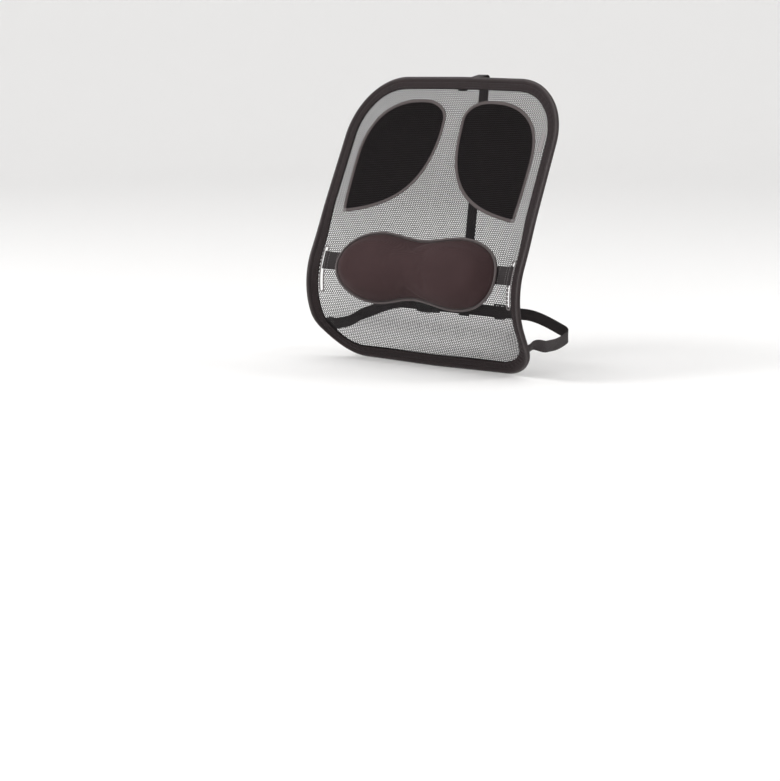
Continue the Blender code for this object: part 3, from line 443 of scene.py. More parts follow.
class Wire:
    """One value in a node tree, which can be used in sums."""

    def __init__(self, tree, socket):
        self.tree = tree
        self.socket = socket

    def math(self, operation, *values):
        """Adds a Math node on these values."""
        node = add_node(self.tree, "ShaderNodeMath", {"operation": operation})
        for socket, value in zip(node.inputs, values):
            feed(self.tree, socket, value)
        return Wire(self.tree, node.outputs[0])

    def sine(self):
        return self.math("SINE", self)

    def __add__(self, other):
        return self.math("ADD", self, other)

    def __sub__(self, other):
        return self.math("SUBTRACT", self, other)

    def __rsub__(self, other):
        return self.math("SUBTRACT", other, self)

    def __mul__(self, other):
        return self.math("MULTIPLY", self, other)

    def __truediv__(self, other):
        return self.math("DIVIDE", self, other)

    def __rtruediv__(self, other):
        return self.math("DIVIDE", other, self)


# %% A material under construction
class Finish:
    """A material under construction: its Principled shader and the nodes that feed it."""

    def __init__(self, name, roughness, **constants):
        self.material = bpy.data.materials.new(name)
        self.material.use_nodes = True
        self.tree = self.material.node_tree
        self.shader = self.tree.nodes["Principled BSDF"]
        self.shader.inputs["Roughness"].default_value = roughness
        for label, value in constants.items():
            self.shader.inputs[label.replace("_", " ")].default_value = value

    def node(self, kind, settings=(), **sockets):
        """Adds any node to this material."""
        return add_node(self.tree, kind, settings, **sockets)

    def wire(self, socket):
        return Wire(self.tree, socket)

    def place(self):
        """Object coordinates, in metres."""
        return self.node("ShaderNodeTexCoord").outputs["Object"]

    def cloth(self):
        """The piece's own UV map: metres along it and metres across it."""
        coordinates = self.node("ShaderNodeTexCoord").outputs["UV"]
        split = self.node("ShaderNodeSeparateXYZ", Vector=coordinates)
        return self.wire(split.outputs["X"]), self.wire(split.outputs["Y"])

    def axes(self):
        """Object coordinates as three values."""
        split = self.node("ShaderNodeSeparateXYZ", Vector=self.place())
        return [self.wire(split.outputs[label]) for label in "XYZ"]

    def noise(self, scale, detail=2.0, roughness=0.5):
        """Smooth noise from 0 to 1, with this many blobs to the metre."""
        sizes = {"Scale": scale, "Detail": detail, "Roughness": roughness}
        node = self.node("ShaderNodeTexNoise", Vector=self.place(), **sizes)
        return self.wire(node.outputs["Fac"])

    def wave(self, value, pitch):
        """A wave from 0 to 1 that repeats every pitch metres."""
        return (value * (2 * math.pi / pitch)).sine() * 0.5 + 0.5

    def blend(self, share, first, second):
        """A colour between two, which are tuples or sockets."""
        node = self.node("ShaderNodeMix", {"data_type": "RGBA"}, Factor=share)
        for index, color in ((6, first), (7, second)):
            whole = (*color, 1.0) if isinstance(color, tuple) else color
            feed(self.tree, node.inputs[index], whole)
        return node.outputs[2]

    def color(self, value):
        feed(self.tree, self.shader.inputs["Base Color"], value)

    def roughness(self, value):
        feed(self.tree, self.shader.inputs["Roughness"], value)

    def bump(self, height, depth):
        node = self.node("ShaderNodeBump", Height=height, Distance=depth, Strength=1.0)
        feed(self.tree, self.shader.inputs["Normal"], node.outputs["Normal"])


# %% [markdown]
# ## The fabrics
#
# The border is a smooth knit with a dull shine, the tapes are twill, the webbing has ribs across
# it and selvedges at its edges, and the cushion is a brushed knit that catches light at a glancing
# angle. The knit of each is a product of two waves at the real pitch, and slow noise on top gives
# the uneven tone that cloth has.


# %% Border, tape and webbing
# Distance along the border's section, from its inner edge to the crest of the fold.
BORDER_CREST = 0.0236
# The width and colour of a painted highlight along the crest of the fold.
CREST_HIGHLIGHT_WIDTH = 0.0022
CREST_HIGHLIGHT_KNIT = (0.105, 0.092, 0.092)
BORDER_KNIT_PITCH = 0.0012
WEBBING_CORDS = 11
WEBBING_PICK = 0.0013


def twill_finish(name, dark, light, pitch, roughness):
    """Diagonal ribs, as on edging tape and piping cloth."""
    finish = Finish(name, roughness, Sheen_Weight=0.03, Sheen_Roughness=0.5, Specular_IOR_Level=0.15)
    along, across = finish.cloth()
    ribs = finish.wave(along + across, pitch)
    threads = finish.wave(along - across * 0.4, pitch * 0.45)
    cloud = finish.noise(60.0, 2.0)
    finish.color(finish.blend(ribs * 0.5 + threads * 0.15 + cloud * 0.35, dark, light))
    finish.roughness(cloud * 0.15 + (roughness - 0.07))
    finish.bump(ribs * 0.75 + threads * 0.25, 0.00020)
    return finish.material


def webbing_finish(name, dark, light, width):
    """Warp cords along the strap, and ribs across it that step from cord to cord."""
    finish = Finish(name, 0.62, Sheen_Weight=0.03, Sheen_Roughness=0.4, Specular_IOR_Level=0.15)
    along, across = finish.cloth()
    cords = finish.wave(across, width / WEBBING_CORDS)
    picks = finish.wave(along + cords * 0.0004, WEBBING_PICK)
    cloud = finish.noise(45.0, 3.0)
    finish.color(finish.blend(cords * picks * 0.6 + cloud * 0.4, dark, light))
    finish.roughness(cloud * 0.16 + 0.54)
    finish.bump(cords * 0.55 + picks * 0.45, 0.00030)
    return finish.material


def border_finish(dark, light):
    """The border's knit, with a painted highlight that makes it paler along the crest of its fold, and
    smoother there.
    """
    sheen = {"Sheen_Weight": 0.02, "Sheen_Roughness": 0.45}
    finish = Finish("border_knit", 0.50, Specular_IOR_Level=0.16, **sheen)
    along, across = finish.cloth()
    wales = finish.wave(along + across * 0.5, BORDER_KNIT_PITCH)
    loops = wales * finish.wave(across - along * 0.12, BORDER_KNIT_PITCH * 0.8)
    cloud = finish.noise(38.0, 3.0)
    # Painted highlight: the knit is paler along the crest of the fold, with random strength. The same
    # mask also lowers the roughness there.
    off_crest = (across - BORDER_CREST) / CREST_HIGHLIGHT_WIDTH
    crest_highlight = 1.0 / (off_crest * off_crest + 1.0)
    wear_and_highlight = crest_highlight * (cloud * 0.5 + 0.5)
    cloth = finish.blend(loops * 0.55 + cloud * 0.45, dark, light)
    finish.color(finish.blend(wear_and_highlight * 0.75, cloth, CREST_HIGHLIGHT_KNIT))
    finish.roughness(cloud * 0.18 - wear_and_highlight * 0.10 + 0.45)
    finish.bump(loops * 0.8 + finish.noise(900.0, 2.0) * 0.2, 0.00022)
    return finish.material


border_cloth = border_finish((0.0125, 0.0082, 0.0087), (0.0305, 0.0200, 0.0212))
tape_cloth = twill_finish("edging_tape", (0.058, 0.048, 0.048), (0.145, 0.122, 0.122), 0.0011, 0.62)
slit_cloth = twill_finish("slit_tape", (0.110, 0.097, 0.098), (0.230, 0.208, 0.210), 0.0010, 0.62)
piping_cloth = twill_finish("piping_cloth", (0.062, 0.052, 0.052), (0.150, 0.128, 0.128), 0.0012, 0.58)
tab_cloth = webbing_finish("tab_webbing", (0.020, 0.017, 0.0175), (0.052, 0.045, 0.046), 0.032)
strap_cloth = webbing_finish("strap_webbing", (0.022, 0.0185, 0.019), (0.056, 0.048, 0.049), 0.020)
patch_cloth = webbing_finish("patch_webbing", (0.018, 0.0165, 0.0165), (0.042, 0.039, 0.039), 0.010)


# %% Thread, net, wing knit and tag
WING_KNIT_PITCH = 0.0016


def thread_finish(name, dark, light, roughness=0.5):
    """Plied thread: a fine twist and a little cloud."""
    finish = Finish(name, roughness, Sheen_Weight=0.02, Specular_IOR_Level=0.15)
    x, y, z = finish.axes()
    plies = finish.wave(x + y + z, 0.0007)
    cloud = finish.noise(240.0, 2.0)
    finish.color(finish.blend(plies * 0.5 + cloud * 0.5, dark, light))
    finish.roughness(cloud * 0.2 + (roughness - 0.1))
    finish.bump(plies, 0.00008)
    return finish.material


def wing_knit_finish(dark, light):
    """A close knit: columns of loops crossed by rows."""
    finish = Finish("wing_knit", 0.8, Sheen_Weight=0.02, Specular_IOR_Level=0.12)
    along, across = finish.cloth()
    loops = finish.wave(along, WING_KNIT_PITCH) * finish.wave(across, WING_KNIT_PITCH)
    cloud = finish.noise(30.0, 2.0)
    finish.color(finish.blend(loops * 0.4 + cloud * 0.6, dark, light))
    finish.bump(1.0 - loops, 0.00020)
    return finish.material


def tag_finish(dark, light):
    """Satin ribbon: fine ribs across, a slanting shine along."""
    finish = Finish("tag_weave", 0.6, Sheen_Weight=0.1, Specular_IOR_Level=0.35)
    along, across = finish.cloth()
    ribs = finish.wave(along, 0.0006)
    satin = finish.wave(across + along * 0.5, 0.0009)
    finish.color(finish.blend(ribs * 0.6 + satin * 0.4, dark, light))
    finish.bump(ribs, 0.00010)
    return finish.material


net_thread = thread_finish("net_thread", (0.0090, 0.0074, 0.0080), (0.0230, 0.0195, 0.0210), 0.65)
dark_thread = thread_finish("dark_thread", (0.028, 0.024, 0.024), (0.066, 0.058, 0.058))
grey_thread = thread_finish("grey_thread", (0.18, 0.165, 0.165), (0.36, 0.335, 0.335))
wing_cloth = wing_knit_finish((0.0074, 0.0052, 0.0052), (0.0175, 0.0125, 0.0125))
tag_cloth = tag_finish((0.20, 0.185, 0.185), (0.38, 0.355, 0.355))


# %% Cushion cloth, plastic, wire and the touch fastener
def cushion_finish():
    """A brushed knit: fine wales, a soft nap and a slow change of tone."""
    sheen = {"Sheen_Weight": 0.06, "Sheen_Roughness": 0.42, "Sheen_Tint": (0.62, 0.50, 0.50, 1.0)}
    finish = Finish("cushion_knit", 0.86, Specular_IOR_Level=0.12, **sheen)
    x, y, z = finish.axes()
    wales = finish.wave(x + finish.noise(180.0, 1.0) * 0.0006, 0.0013)
    courses = finish.wave(z - y * 0.55, 0.0011)
    nap = finish.noise(1500.0, 3.0, 0.6)
    cloud = finish.noise(16.0, 3.0, 0.55)
    tone = wales * courses * 0.35 + nap * 0.30 + cloud * 0.35
    finish.color(finish.blend(tone, (0.0300, 0.0172, 0.0179), (0.0670, 0.0390, 0.0404)))
    finish.roughness(nap * 0.14 + 0.78)
    finish.bump(wales * courses * 0.6 + nap * 0.4, 0.00018)
    return finish.material


def plastic_finish():
    """Moulded plastic: a fine spark texture, polished a little where it is handled."""
    finish = Finish("black_plastic", 0.42, Specular_IOR_Level=0.5)
    grain = finish.noise(1400.0, 2.0)
    # In this plastic the mask is random wear only: paler and rougher patches.
    wear_and_highlight = finish.noise(70.0, 3.0)
    finish.color(finish.blend(wear_and_highlight, (0.0075, 0.0075, 0.0080), (0.0175, 0.0170, 0.0175)))
    finish.roughness(wear_and_highlight * 0.22 + grain * 0.12 + 0.24)
    finish.bump(grain, 0.00006)
    return finish.material


def wire_finish():
    """Drawn wire under a thin grey coat."""
    finish = Finish("coated_wire", 0.35, Metallic=0.9)
    drawn = finish.noise(400.0, 2.0)
    finish.color(finish.blend(drawn, (0.06, 0.06, 0.063), (0.13, 0.13, 0.135)))
    finish.roughness(drawn * 0.25 + 0.25)
    finish.bump(drawn, 0.00003)
    return finish.material


def pile_finish(name, pitch, depth, dark, light):
    """Touch fastener: rows of hooks, or a felt of loops."""
    finish = Finish(name, 0.8, Sheen_Weight=0.2, Specular_IOR_Level=0.3)
    x, y, z = finish.axes()
    rows = finish.wave(x, pitch) * finish.wave(z, pitch)
    fuzz = finish.noise(1100.0, 3.0)
    finish.color(finish.blend(rows * 0.5 + fuzz * 0.5, dark, light))
    finish.bump(rows * 0.6 + fuzz * 0.4, depth)
    return finish.material


cushion_cloth = cushion_finish()
black_plastic = plastic_finish()
coated_wire = wire_finish()
hook_pile = pile_finish("hook_tape", 0.0015, 0.0005, (0.010, 0.010, 0.010), (0.035, 0.034, 0.034))
loop_pile = pile_finish("loop_tape", 0.0026, 0.0003, (0.012, 0.011, 0.011), (0.040, 0.037, 0.037))
print("finishes:", ", ".join(sorted(material.name for material in bpy.data.materials)))


# %% [markdown]
# ## Making a swept cloth
#
# Tape, piping, webbing and the folded border are all one cross-section carried along a path. The
# helper takes the sections as rings of points and skins them. It also writes a UV map in metres,
# along and across, so that a weave keeps its real pitch and follows every bend.


# %% Placing a piece
SHARP_FROM = math.radians(50)


def riding(name, mesh, body):
    """A piece of the object, which moves with a body."""
    made = linked(name, mesh)
    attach(made, body)
    return made


def outward(mesh):
    """Turns a closed mesh's faces outwards."""
    work = bmesh.new()
    work.from_mesh(mesh)
    bmesh.ops.recalc_face_normals(work, faces=work.faces)
    if work.calc_volume(signed=True) < 0:
        bmesh.ops.reverse_faces(work, faces=work.faces)
    work.to_mesh(mesh)
    work.free()


# %% The skin helper and the flat section
def skin(name, rings, closed, material, body):
    """Skins rings of points, shaped (stations, points, 3); an open run gets an end cap each way."""
    rings = np.asarray(rings, float)
    rows, columns = rings.shape[:2]
    middle = rings.mean(axis=1)
    ahead = np.roll(middle, -1, axis=0) if closed else middle[1:]
    lengths = np.r_[0.0, np.cumsum(np.linalg.norm(ahead - middle[: len(ahead)], axis=1))]
    around = np.linalg.norm(np.roll(rings[0], -1, axis=0) - rings[0], axis=1)
    widths = np.r_[0.0, np.cumsum(around)]
    faces, uvs = [], []
    for row in range(rows if closed else rows - 1):
        here, below = row * columns, (row + 1) % rows * columns
        near, far = lengths[row], lengths[row + 1]
        for column in range(columns):
            right = (column + 1) % columns
            faces.append((here + column, here + right, below + right, below + column))
            left_v, right_v = widths[column], widths[column + 1]
            uvs += [(near, left_v), (near, right_v), (far, right_v), (far, left_v)]
    if not closed:
        for first in (0, (rows - 1) * columns):
            faces.append(tuple(range(first, first + columns)))
            uvs += [(lengths[-1] if first else 0.0, widths[column]) for column in range(columns)]
    mesh = bpy.data.meshes.new(name)
    mesh.from_pydata(rings.reshape(-1, 3).tolist(), [], faces)
    layer = mesh.uv_layers.new(name="cloth")
    layer.data.foreach_set("uv", np.array(uvs, np.float32).ravel())
    outward(mesh)
    mesh.materials.append(material)
    mesh.shade_smooth()
    mesh.set_sharp_from_angle(angle=SHARP_FROM)
    return riding(name, mesh, body)


def lined(outline, offsets, lifts):
    """Rings on the surface: at each outline point, the section (distance inward, lift)."""
    inside = inward(outline)
    offsets, lifts = np.asarray(offsets, float), np.asarray(lifts, float)
    if lifts.ndim == 1:
        lifts = np.broadcast_to(lifts, (len(outline), len(lifts)))
    x = outline[:, None, 0] + inside[:, None, 0] * offsets[None, :]
    z = outline[:, None, 1] + inside[:, None, 1] * offsets[None, :]
    return lay(x, z, lifts)


def pill_section(width, thickness, points=5):
    """A flat section with round edges, as (across, through) pairs."""
    half, radius = width / 2 - thickness / 2, thickness / 2
    section = []
    for side, start in ((1, -90), (-1, 90)):
        for step in range(points):
            angle = math.radians(start + 180 * step / (points - 1))
            section.append((side * half + radius * math.cos(angle), radius * math.sin(angle)))
    return np.array(section)


# %% [markdown]
# ## Stitches
#
# There are thousands of stitches, all alike, so Geometry Nodes sets them: a path is resampled at
# the stitch pitch, and a small spindle is placed on each point along the path's direction. The
# tree has named inputs for the pitch, length and thickness, and a fixed seed tips each stitch a
# little. The result is turned into a plain mesh.


# %% The stitch tree and the thread tree
STITCH_TIP = 0.07
STITCH_SEED = 7


def growing_tree(name, sizes):
    """A tree that takes a shape, some named sizes and a thread material, and gives a shape."""
    tree = bpy.data.node_groups.new(name, "GeometryNodeTree")
    sockets = [("Geometry", "INPUT", "Geometry")]
    sockets += [(label, "INPUT", "Float") for label in sizes]
    sockets += [("Thread", "INPUT", "Material"), ("Geometry", "OUTPUT", "Geometry")]
    for label, way, kind in sockets:
        tree.interface.new_socket(label, in_out=way, socket_type="NodeSocket" + kind)

    def add(kind, settings=(), **inputs):
        return add_node(tree, kind, settings, **inputs).outputs

    return tree, add, add("NodeGroupInput")


def stitch_tree():
    """Sets a small spindle at each pitch along a path, tipped a little at random."""
    tree, add, given = growing_tree("stitch_row", ("Pitch", "Length", "Thickness"))
    curve = add("GeometryNodeMeshToCurve", Mesh=given["Geometry"])["Curve"]
    by_length = {"mode": "LENGTH"}
    row = add("GeometryNodeResampleCurve", by_length, Curve=curve, Length=given["Pitch"])["Curve"]
    tangent = add("GeometryNodeInputTangent")["Tangent"]
    along = add("FunctionNodeAlignRotationToVector", {"axis": "Z"}, Vector=tangent)["Rotation"]
    tips = {"Min": (-STITCH_TIP,) * 3, "Max": (STITCH_TIP,) * 3, "Seed": STITCH_SEED}
    tip = add("FunctionNodeRandomValue", {"data_type": "FLOAT_VECTOR"}, **tips)["Value"]
    turn = add("FunctionNodeRotateRotation", Rotation=along, Rotate_By=tip)["Rotation"]
    spindle = add("GeometryNodeMeshUVSphere", Segments=6, Rings=5, Radius=0.5)["Mesh"]
    thick = given["Thickness"]
    size = add("ShaderNodeCombineXYZ", X=thick, Y=thick, Z=given["Length"])["Vector"]
    placing = {"Points": row, "Instance": spindle, "Rotation": turn, "Scale": size}
    stitches = add("GeometryNodeInstanceOnPoints", **placing)["Instances"]
    real = add("GeometryNodeRealizeInstances", Geometry=stitches)["Geometry"]
    smooth = add("GeometryNodeSetShadeSmooth", Geometry=real)["Geometry"]
    done = add("GeometryNodeSetMaterial", Geometry=smooth, Material=given["Thread"])["Geometry"]
    add("NodeGroupOutput", Geometry=done)
    return tree


def thread_tree():
    """Turns every edge of a wireframe into a thread of three sides."""
    tree, add, given = growing_tree("net_threads", ("Thickness",))
    curve = add("GeometryNodeMeshToCurve", Mesh=given["Geometry"])["Curve"]
    ring = add("GeometryNodeCurvePrimitiveCircle", Resolution=3, Radius=given["Thickness"])["Curve"]
    profile = {"Curve": curve, "Profile_Curve": ring, "Fill_Caps": True}
    threads = add("GeometryNodeCurveToMesh", **profile)["Mesh"]
    real = add("GeometryNodeRealizeInstances", Geometry=threads)["Geometry"]
    done = add("GeometryNodeSetMaterial", Geometry=real, Material=given["Thread"])["Geometry"]
    add("NodeGroupOutput", Geometry=done)
    return tree


STITCH_TREE = stitch_tree()
THREAD_TREE = thread_tree()
print("trees:", STITCH_TREE.name, len(STITCH_TREE.nodes), THREAD_TREE.name, len(THREAD_TREE.nodes))


# %% Running a tree
def grown(name, points, edges, tree, values, body):
    """Runs a tree on a wireframe and keeps the result as a plain mesh."""
    mesh = bpy.data.meshes.new(name + "_paths")
    mesh.from_pydata(np.asarray(points, float).tolist(), np.asarray(edges).tolist(), [])
    source = linked(name + "_paths", mesh)
    modifier = source.modifiers.new(name, "NODES")
    modifier.node_group = tree
    for item in tree.interface.items_tree:
        if item.in_out == "INPUT" and item.name in values:
            modifier[item.identifier] = values[item.name]
    graph = bpy.context.evaluated_depsgraph_get()
    result = bpy.data.meshes.new_from_object(source.evaluated_get(graph))
    source.modifiers.remove(modifier)
    bpy.data.objects.remove(source)
    print(name, "has", len(result.polygons), "faces")
    return riding(name, result, body)


def sewn(name, paths, body, thread, pitch, length, thickness):
    """Rows of stitches along paths; a path is (points, closed)."""
    points, edges = [], []
    for path, closed in paths:
        first, count = len(points), len(path)
        points += [tuple(point) for point in path]
        edges += [(first + i, first + i + 1) for i in range(count - 1)]
        if closed:
            edges.append((first + count - 1, first))
    values = {"Pitch": pitch, "Length": length, "Thickness": thickness, "Thread": thread}
    return grown(name, points, edges, STITCH_TREE, values, body)


# %% [markdown]
# ## The net
#
# The back is a warp-knitted net of six-sided holes, about 4 mm apart. A texture could fake it,
# but then nothing would show through it and it would have no thickness. So the script lays out a
# honeycomb flat, bends it onto the surface, cuts it to the border and the two slits, and lets
# Geometry Nodes turn each side of each hole into a thread.

# %% Sizes of the net
NET_PITCH = 0.0039
NET_THREAD = 0.00072
SIDES = ((-1, "left"), (1, "right"))
# The net runs this far in from the border's edge, inside the fold.
NET_REACH = 0.0165
SLIT_WIDTH = 0.0056
SLIT_FROM_BORDER = 0.0030
TAB_CENTRE_ANGLE = math.radians(20.0)
TAB_BEND_RADIUS = 0.0026
TAB_WIDTH = 0.032
CUSHION_TRAVEL_DOWN = math.radians(18.0)
CUSHION_TRAVEL_UP = math.radians(1.8)
SLIT_END_PLAY = 0.0020


def net_radius(x):
    """Distance of the net from the lumbar axis, in the middle of its arc."""
    share = np.minimum(1.0, np.abs(x) / HALF_WIDTH_BELOW)
    return LUMBAR_RADIUS - MESH_SAG * (1.0 - share**SAG_SQUARENESS)


def on_arc(x, radius, angle):
    """Points round the lumbar axis; the angle is 0 level with the axis and grows upwards."""
    x, radius, angle = np.broadcast_arrays(x, radius, angle)
    y = LUMBAR_AXIS_Y - radius * np.cos(angle)
    return np.stack([x, y, LUMBAR_AXIS_Z + radius * np.sin(angle)], axis=-1)


slit_middle = LUMBAR_AXIS_Z + LUMBAR_RADIUS * math.sin(TAB_CENTRE_ANGLE - CUSHION_TRAVEL_DOWN / 2)
slit_outer = float(half_width_at(slit_middle)) - BORDER_WIDTH - SLIT_FROM_BORDER
slit_inner = slit_outer - SLIT_WIDTH
slit_radius = float(net_radius(slit_outer - SLIT_WIDTH / 2))
half_tab_angle = TAB_WIDTH / 2 / slit_radius
slit_low, slit_high = (
    float(on_arc(0.0, slit_radius + TAB_BEND_RADIUS, angle)[2]) + play
    for angle, play in (
        (TAB_CENTRE_ANGLE - half_tab_angle - CUSHION_TRAVEL_DOWN, -SLIT_END_PLAY),
        (TAB_CENTRE_ANGLE + half_tab_angle + CUSHION_TRAVEL_UP, SLIT_END_PLAY),
    )
)
print("slits from", round(slit_low, 4), "to", round(slit_high, 4), "at", round(slit_outer, 4))


# %% The honeycomb, laid and cut
def honeycomb():
    """Points and edges of flat six-sided holes, enough to cover the back."""
    side = NET_PITCH / math.sqrt(3)
    rows = np.arange(-2, int(climb[-1] / (1.5 * side)) + 3)
    widest = int(HALF_WIDTH_BELOW / NET_PITCH)
    columns = np.arange(-widest - 2, widest + 3)
    row, column = (grid.ravel() for grid in np.meshgrid(rows, columns, indexing="ij"))
    centres = np.stack([(column + 0.5 * (row % 2)) * NET_PITCH, row * 1.5 * side], axis=1)
    turns = np.radians(np.arange(6) * 60 + 30)
    corners = centres[:, None, :] + side * np.stack([np.cos(turns), np.sin(turns)], axis=1)[None]
    keys = np.round(corners.reshape(-1, 2) / (side * 0.1)).astype(np.int64)
    _, first, index = np.unique(keys, axis=0, return_index=True, return_inverse=True)
    points = corners.reshape(-1, 2)[first]
    index = index.reshape(-1, 6)
    edges = np.stack([index, np.roll(index, -1, axis=1)], axis=2).reshape(-1, 2)
    edges = np.unique(np.sort(edges, axis=1), axis=0)
    return points, edges


flat, net_edges = honeycomb()
net_x = flat[:, 0]
net_z = np.interp(flat[:, 1], climb, heights, left=BOTTOM_Z - 0.02, right=TOP_Z + 0.02)
inside = np.abs(net_x) < half_width_at(net_z, NET_REACH)
inside &= (net_z > BOTTOM_Z + EDGE_CROWN + NET_REACH) & (net_z < TOP_Z - EDGE_CROWN - NET_REACH)
in_slit = (np.abs(net_x) > slit_inner) & (np.abs(net_x) < slit_outer)
in_slit &= (net_z > slit_low) & (net_z < slit_high)
net_edges = net_edges[inside[net_edges].all(axis=1) & ~in_slit[net_edges].all(axis=1)]
# A thread that is cut at a slit ends on the slit's nearest side, under its binding.
across = np.abs(net_x)
ways = np.stack([across - slit_inner, slit_outer - across, net_z - slit_low, slit_high - net_z])
nearest = np.argmin(ways, axis=0)
side_x = np.where(nearest == 0, slit_inner, slit_outer)
side_z = np.where(nearest == 2, slit_low, slit_high)
net_x = np.where(in_slit & (nearest < 2), np.copysign(side_x, net_x), net_x)
net_z = np.where(in_slit & (nearest >= 2), side_z, net_z)
net_points = lay(net_x, net_z)
print("net of", len(net_edges), "threads")

# %% The two halves of the net
for side_sign, label in SIDES:
    middle = net_x[net_edges].mean(axis=1)
    chosen = net_edges[middle < 0 if side_sign < 0 else middle >= 0]
    used, edges = np.unique(chosen, return_inverse=True)
    edges = edges.reshape(-1, 2)
    values = {"Thickness": NET_THREAD, "Thread": net_thread}
    net = grown("net_" + label, net_points[used], edges, THREAD_TREE, values, "support")
    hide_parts("mesh_panel")
    tall = float(np.ptp(np.interp(net_z[used], heights, climb)))


# %% [markdown]
# ## The border
#
# A strip of smooth fabric is folded round the wire, so its outer edge is a round bead and its
# inner part is a flat band that grips the net. Two rows of stitches hold it, one in the gutter
# beside the bead and one near the inner edge. The cloth is eased round the corners there, so it
# puckers a little. The section is swept round the outline, and the puckers are small waves in
# the band's lift that grow towards the corners.

# %% The border's section
BEAD = 0.0039
FOLD_INSIDE = 0.0029
LIP = 0.0012
FABRIC = 0.0008
BAND_LIFT = LIP + FABRIC
GUTTER = 0.0098
INNER_ROW = 0.0180
LEAST_PUCKER = 0.00006


def border_section():
    """(distance inward, lift, how far puckers move it) round the folded strip."""
    nose = FABRIC / 2
    nose_at = BORDER_WIDTH - nose
    front = []
    for degrees in (-80, -30, 30, 80):
        angle = math.radians(degrees)
        front.append((nose_at + nose * math.cos(angle), LIP + nose + nose * math.sin(angle), 0.0))
    front += [
        (0.0190, BAND_LIFT, 0.1),
        (0.0180, BAND_LIFT - 0.00025, 0.15),
        (0.0168, BAND_LIFT + 0.0001, 0.6),
        (0.0152, BAND_LIFT + 0.0002, 1.0),
        (0.0135, BAND_LIFT + 0.0002, 1.0),
        (0.0118, BAND_LIFT + 0.0001, 0.7),
        (0.0106, BAND_LIFT - 0.0001, 0.3),
        (GUTTER, BAND_LIFT - 0.0003, 0.1),
        (0.0088, BAND_LIFT, 0.1),
        (0.0075, BAND_LIFT + 0.0008, 0.1),
    ]
    bead = []
    for degrees in range(56, 181, 14):
        angle = math.radians(degrees)
        bead.append((BEAD + BEAD * math.cos(angle), BEAD * math.sin(angle), 0.0))
    outside = front + bead
    outside += [(distance, -lift, share) for distance, lift, share in outside[::-1][1:]]
    mouth = math.asin(LIP / FOLD_INSIDE)
    inner = [(BEAD + FOLD_INSIDE * math.cos(mouth) + 0.0040, -LIP, 0.0)]
    for step in range(13):
        angle = -mouth - (2 * math.pi - 2 * mouth) * step / 12
        inner.append((BEAD + FOLD_INSIDE * math.cos(angle), FOLD_INSIDE * math.sin(angle), 0.0))
    inner.append((inner[0][0], LIP, 0.0))
    return np.array(outside + inner)


def puckers(outline, spots):
    """Small waves along the border; they grow near spots, which are (x, z, reach, height)."""
    lengths = run_lengths(outline)
    total = lengths[-1] + np.linalg.norm(outline[0] - outline[-1])
    turn = 2 * math.pi * lengths / total
    fine = np.sin(turn * 163 + 1.3 * np.sin(turn * 21))
    wave = fine + 0.6 * np.sin(turn * 97 + 2.0 * np.sin(turn * 13 + 1))
    height = np.full(len(outline), LEAST_PUCKER)
    for x, z, reach, most in spots:
        height += most * np.exp(-(((outline[:, 0] - x) ** 2 + (outline[:, 1] - z) ** 2) / reach**2))
    return wave * height


# %% Sweeping the border
border_line = border_outline(900)
section = border_section()
CORNER_SPOTS = (
    (0.205, -0.068, 0.060, 0.00042),
    (-0.205, -0.068, 0.060, 0.00030),
    (0.190, 0.370, 0.070, 0.00018),
    (-0.190, 0.370, 0.070, 0.00018),
)
waves = puckers(border_line, CORNER_SPOTS)
distance, lift, share = section.T
lifts = lift[None, :] + np.sign(lift[None, :]) * share[None, :] * waves[:, None]
rings = lined(border_line, distance, lifts)
border = skin("border", rings, True, border_cloth, "support")
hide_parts("border_sleeve")

border_rows = []
for distance, lift in ((GUTTER, BAND_LIFT - 0.0001), (INNER_ROW, BAND_LIFT)):
    for face in (1, -1):
        border_rows.append((lined(border_line, [distance], [face * lift])[:, 0], True))
print("border swept at", len(border_line), "stations")
sewn("border_stitches", border_rows, "support", dark_thread, 0.0034, 0.0025, 0.00062)

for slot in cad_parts["frame_wire"].material_slots:
    slot.material = coated_wire


# %% [markdown]
# ## The wings
#
# Each wing is a shield-shaped piece of close knit behind the net, outlined on the front with a
# flat twill tape. The tape is one strip that starts and ends at the sharp lower corner, where
# its end laps over its start and a block of dense stitches holds both.

# %% Wing sizes and the open path helper
WING_TAPE_WIDTH = 0.0056
WING_TAPE_THICKNESS = 0.0006
NET_FACE = 0.0003
TAPE_LIFT = NET_FACE + 0.0005
PANEL_DEPTH = NET_FACE + 0.0010
PANEL_THICKNESS = 0.0005
TAPE_CROWN = 0.00012
# The tape's end climbs by this much where it laps over its start.
LAP_RISE = 0.00066
LAP_FROM = 0.012
LAP_TO = 0.005
# Threads lie this far off the cloth that they hold.
THREAD_CLEAR = 0.0001


def tape_rings(path, width, thickness, lift):
    """Rings of a flat tape along an open path on the surface, crowned a little."""
    sideways = beside(path)
    section = pill_section(width, thickness, 4)
    x = path[:, None, 0] + sideways[:, None, 0] * section[None, :, 0]
    z = path[:, None, 1] + sideways[:, None, 1] * section[None, :, 0]
    crown = TAPE_CROWN * (1 - (2 * section[:, 0] / width) ** 2)
    return lay(x, z, lift[:, None] + thickness / 2 + section[None, :, 1] + crown[None, :])


def tape_line(path, across, lift):
    """A line along a tape, at some distance across it."""
    sideways = beside(path)
    return lay(path[:, 0] + sideways[:, 0] * across, path[:, 1] + sideways[:, 1] * across, lift)


def wing_path(side):
    """The tape's path, from the sharp corner round to it again, run on by half its width."""
    points = evenly_spaced(np.array(wing_curve(60) + [WING_CORNER]), 420, closed=False)
    first = points[0] + (points[0] - points[1]) * 1.5
    last = points[-1] + (points[-1] - points[-2]) * 1.5
    return np.vstack([first, points, last]) * np.array([side, 1.0])


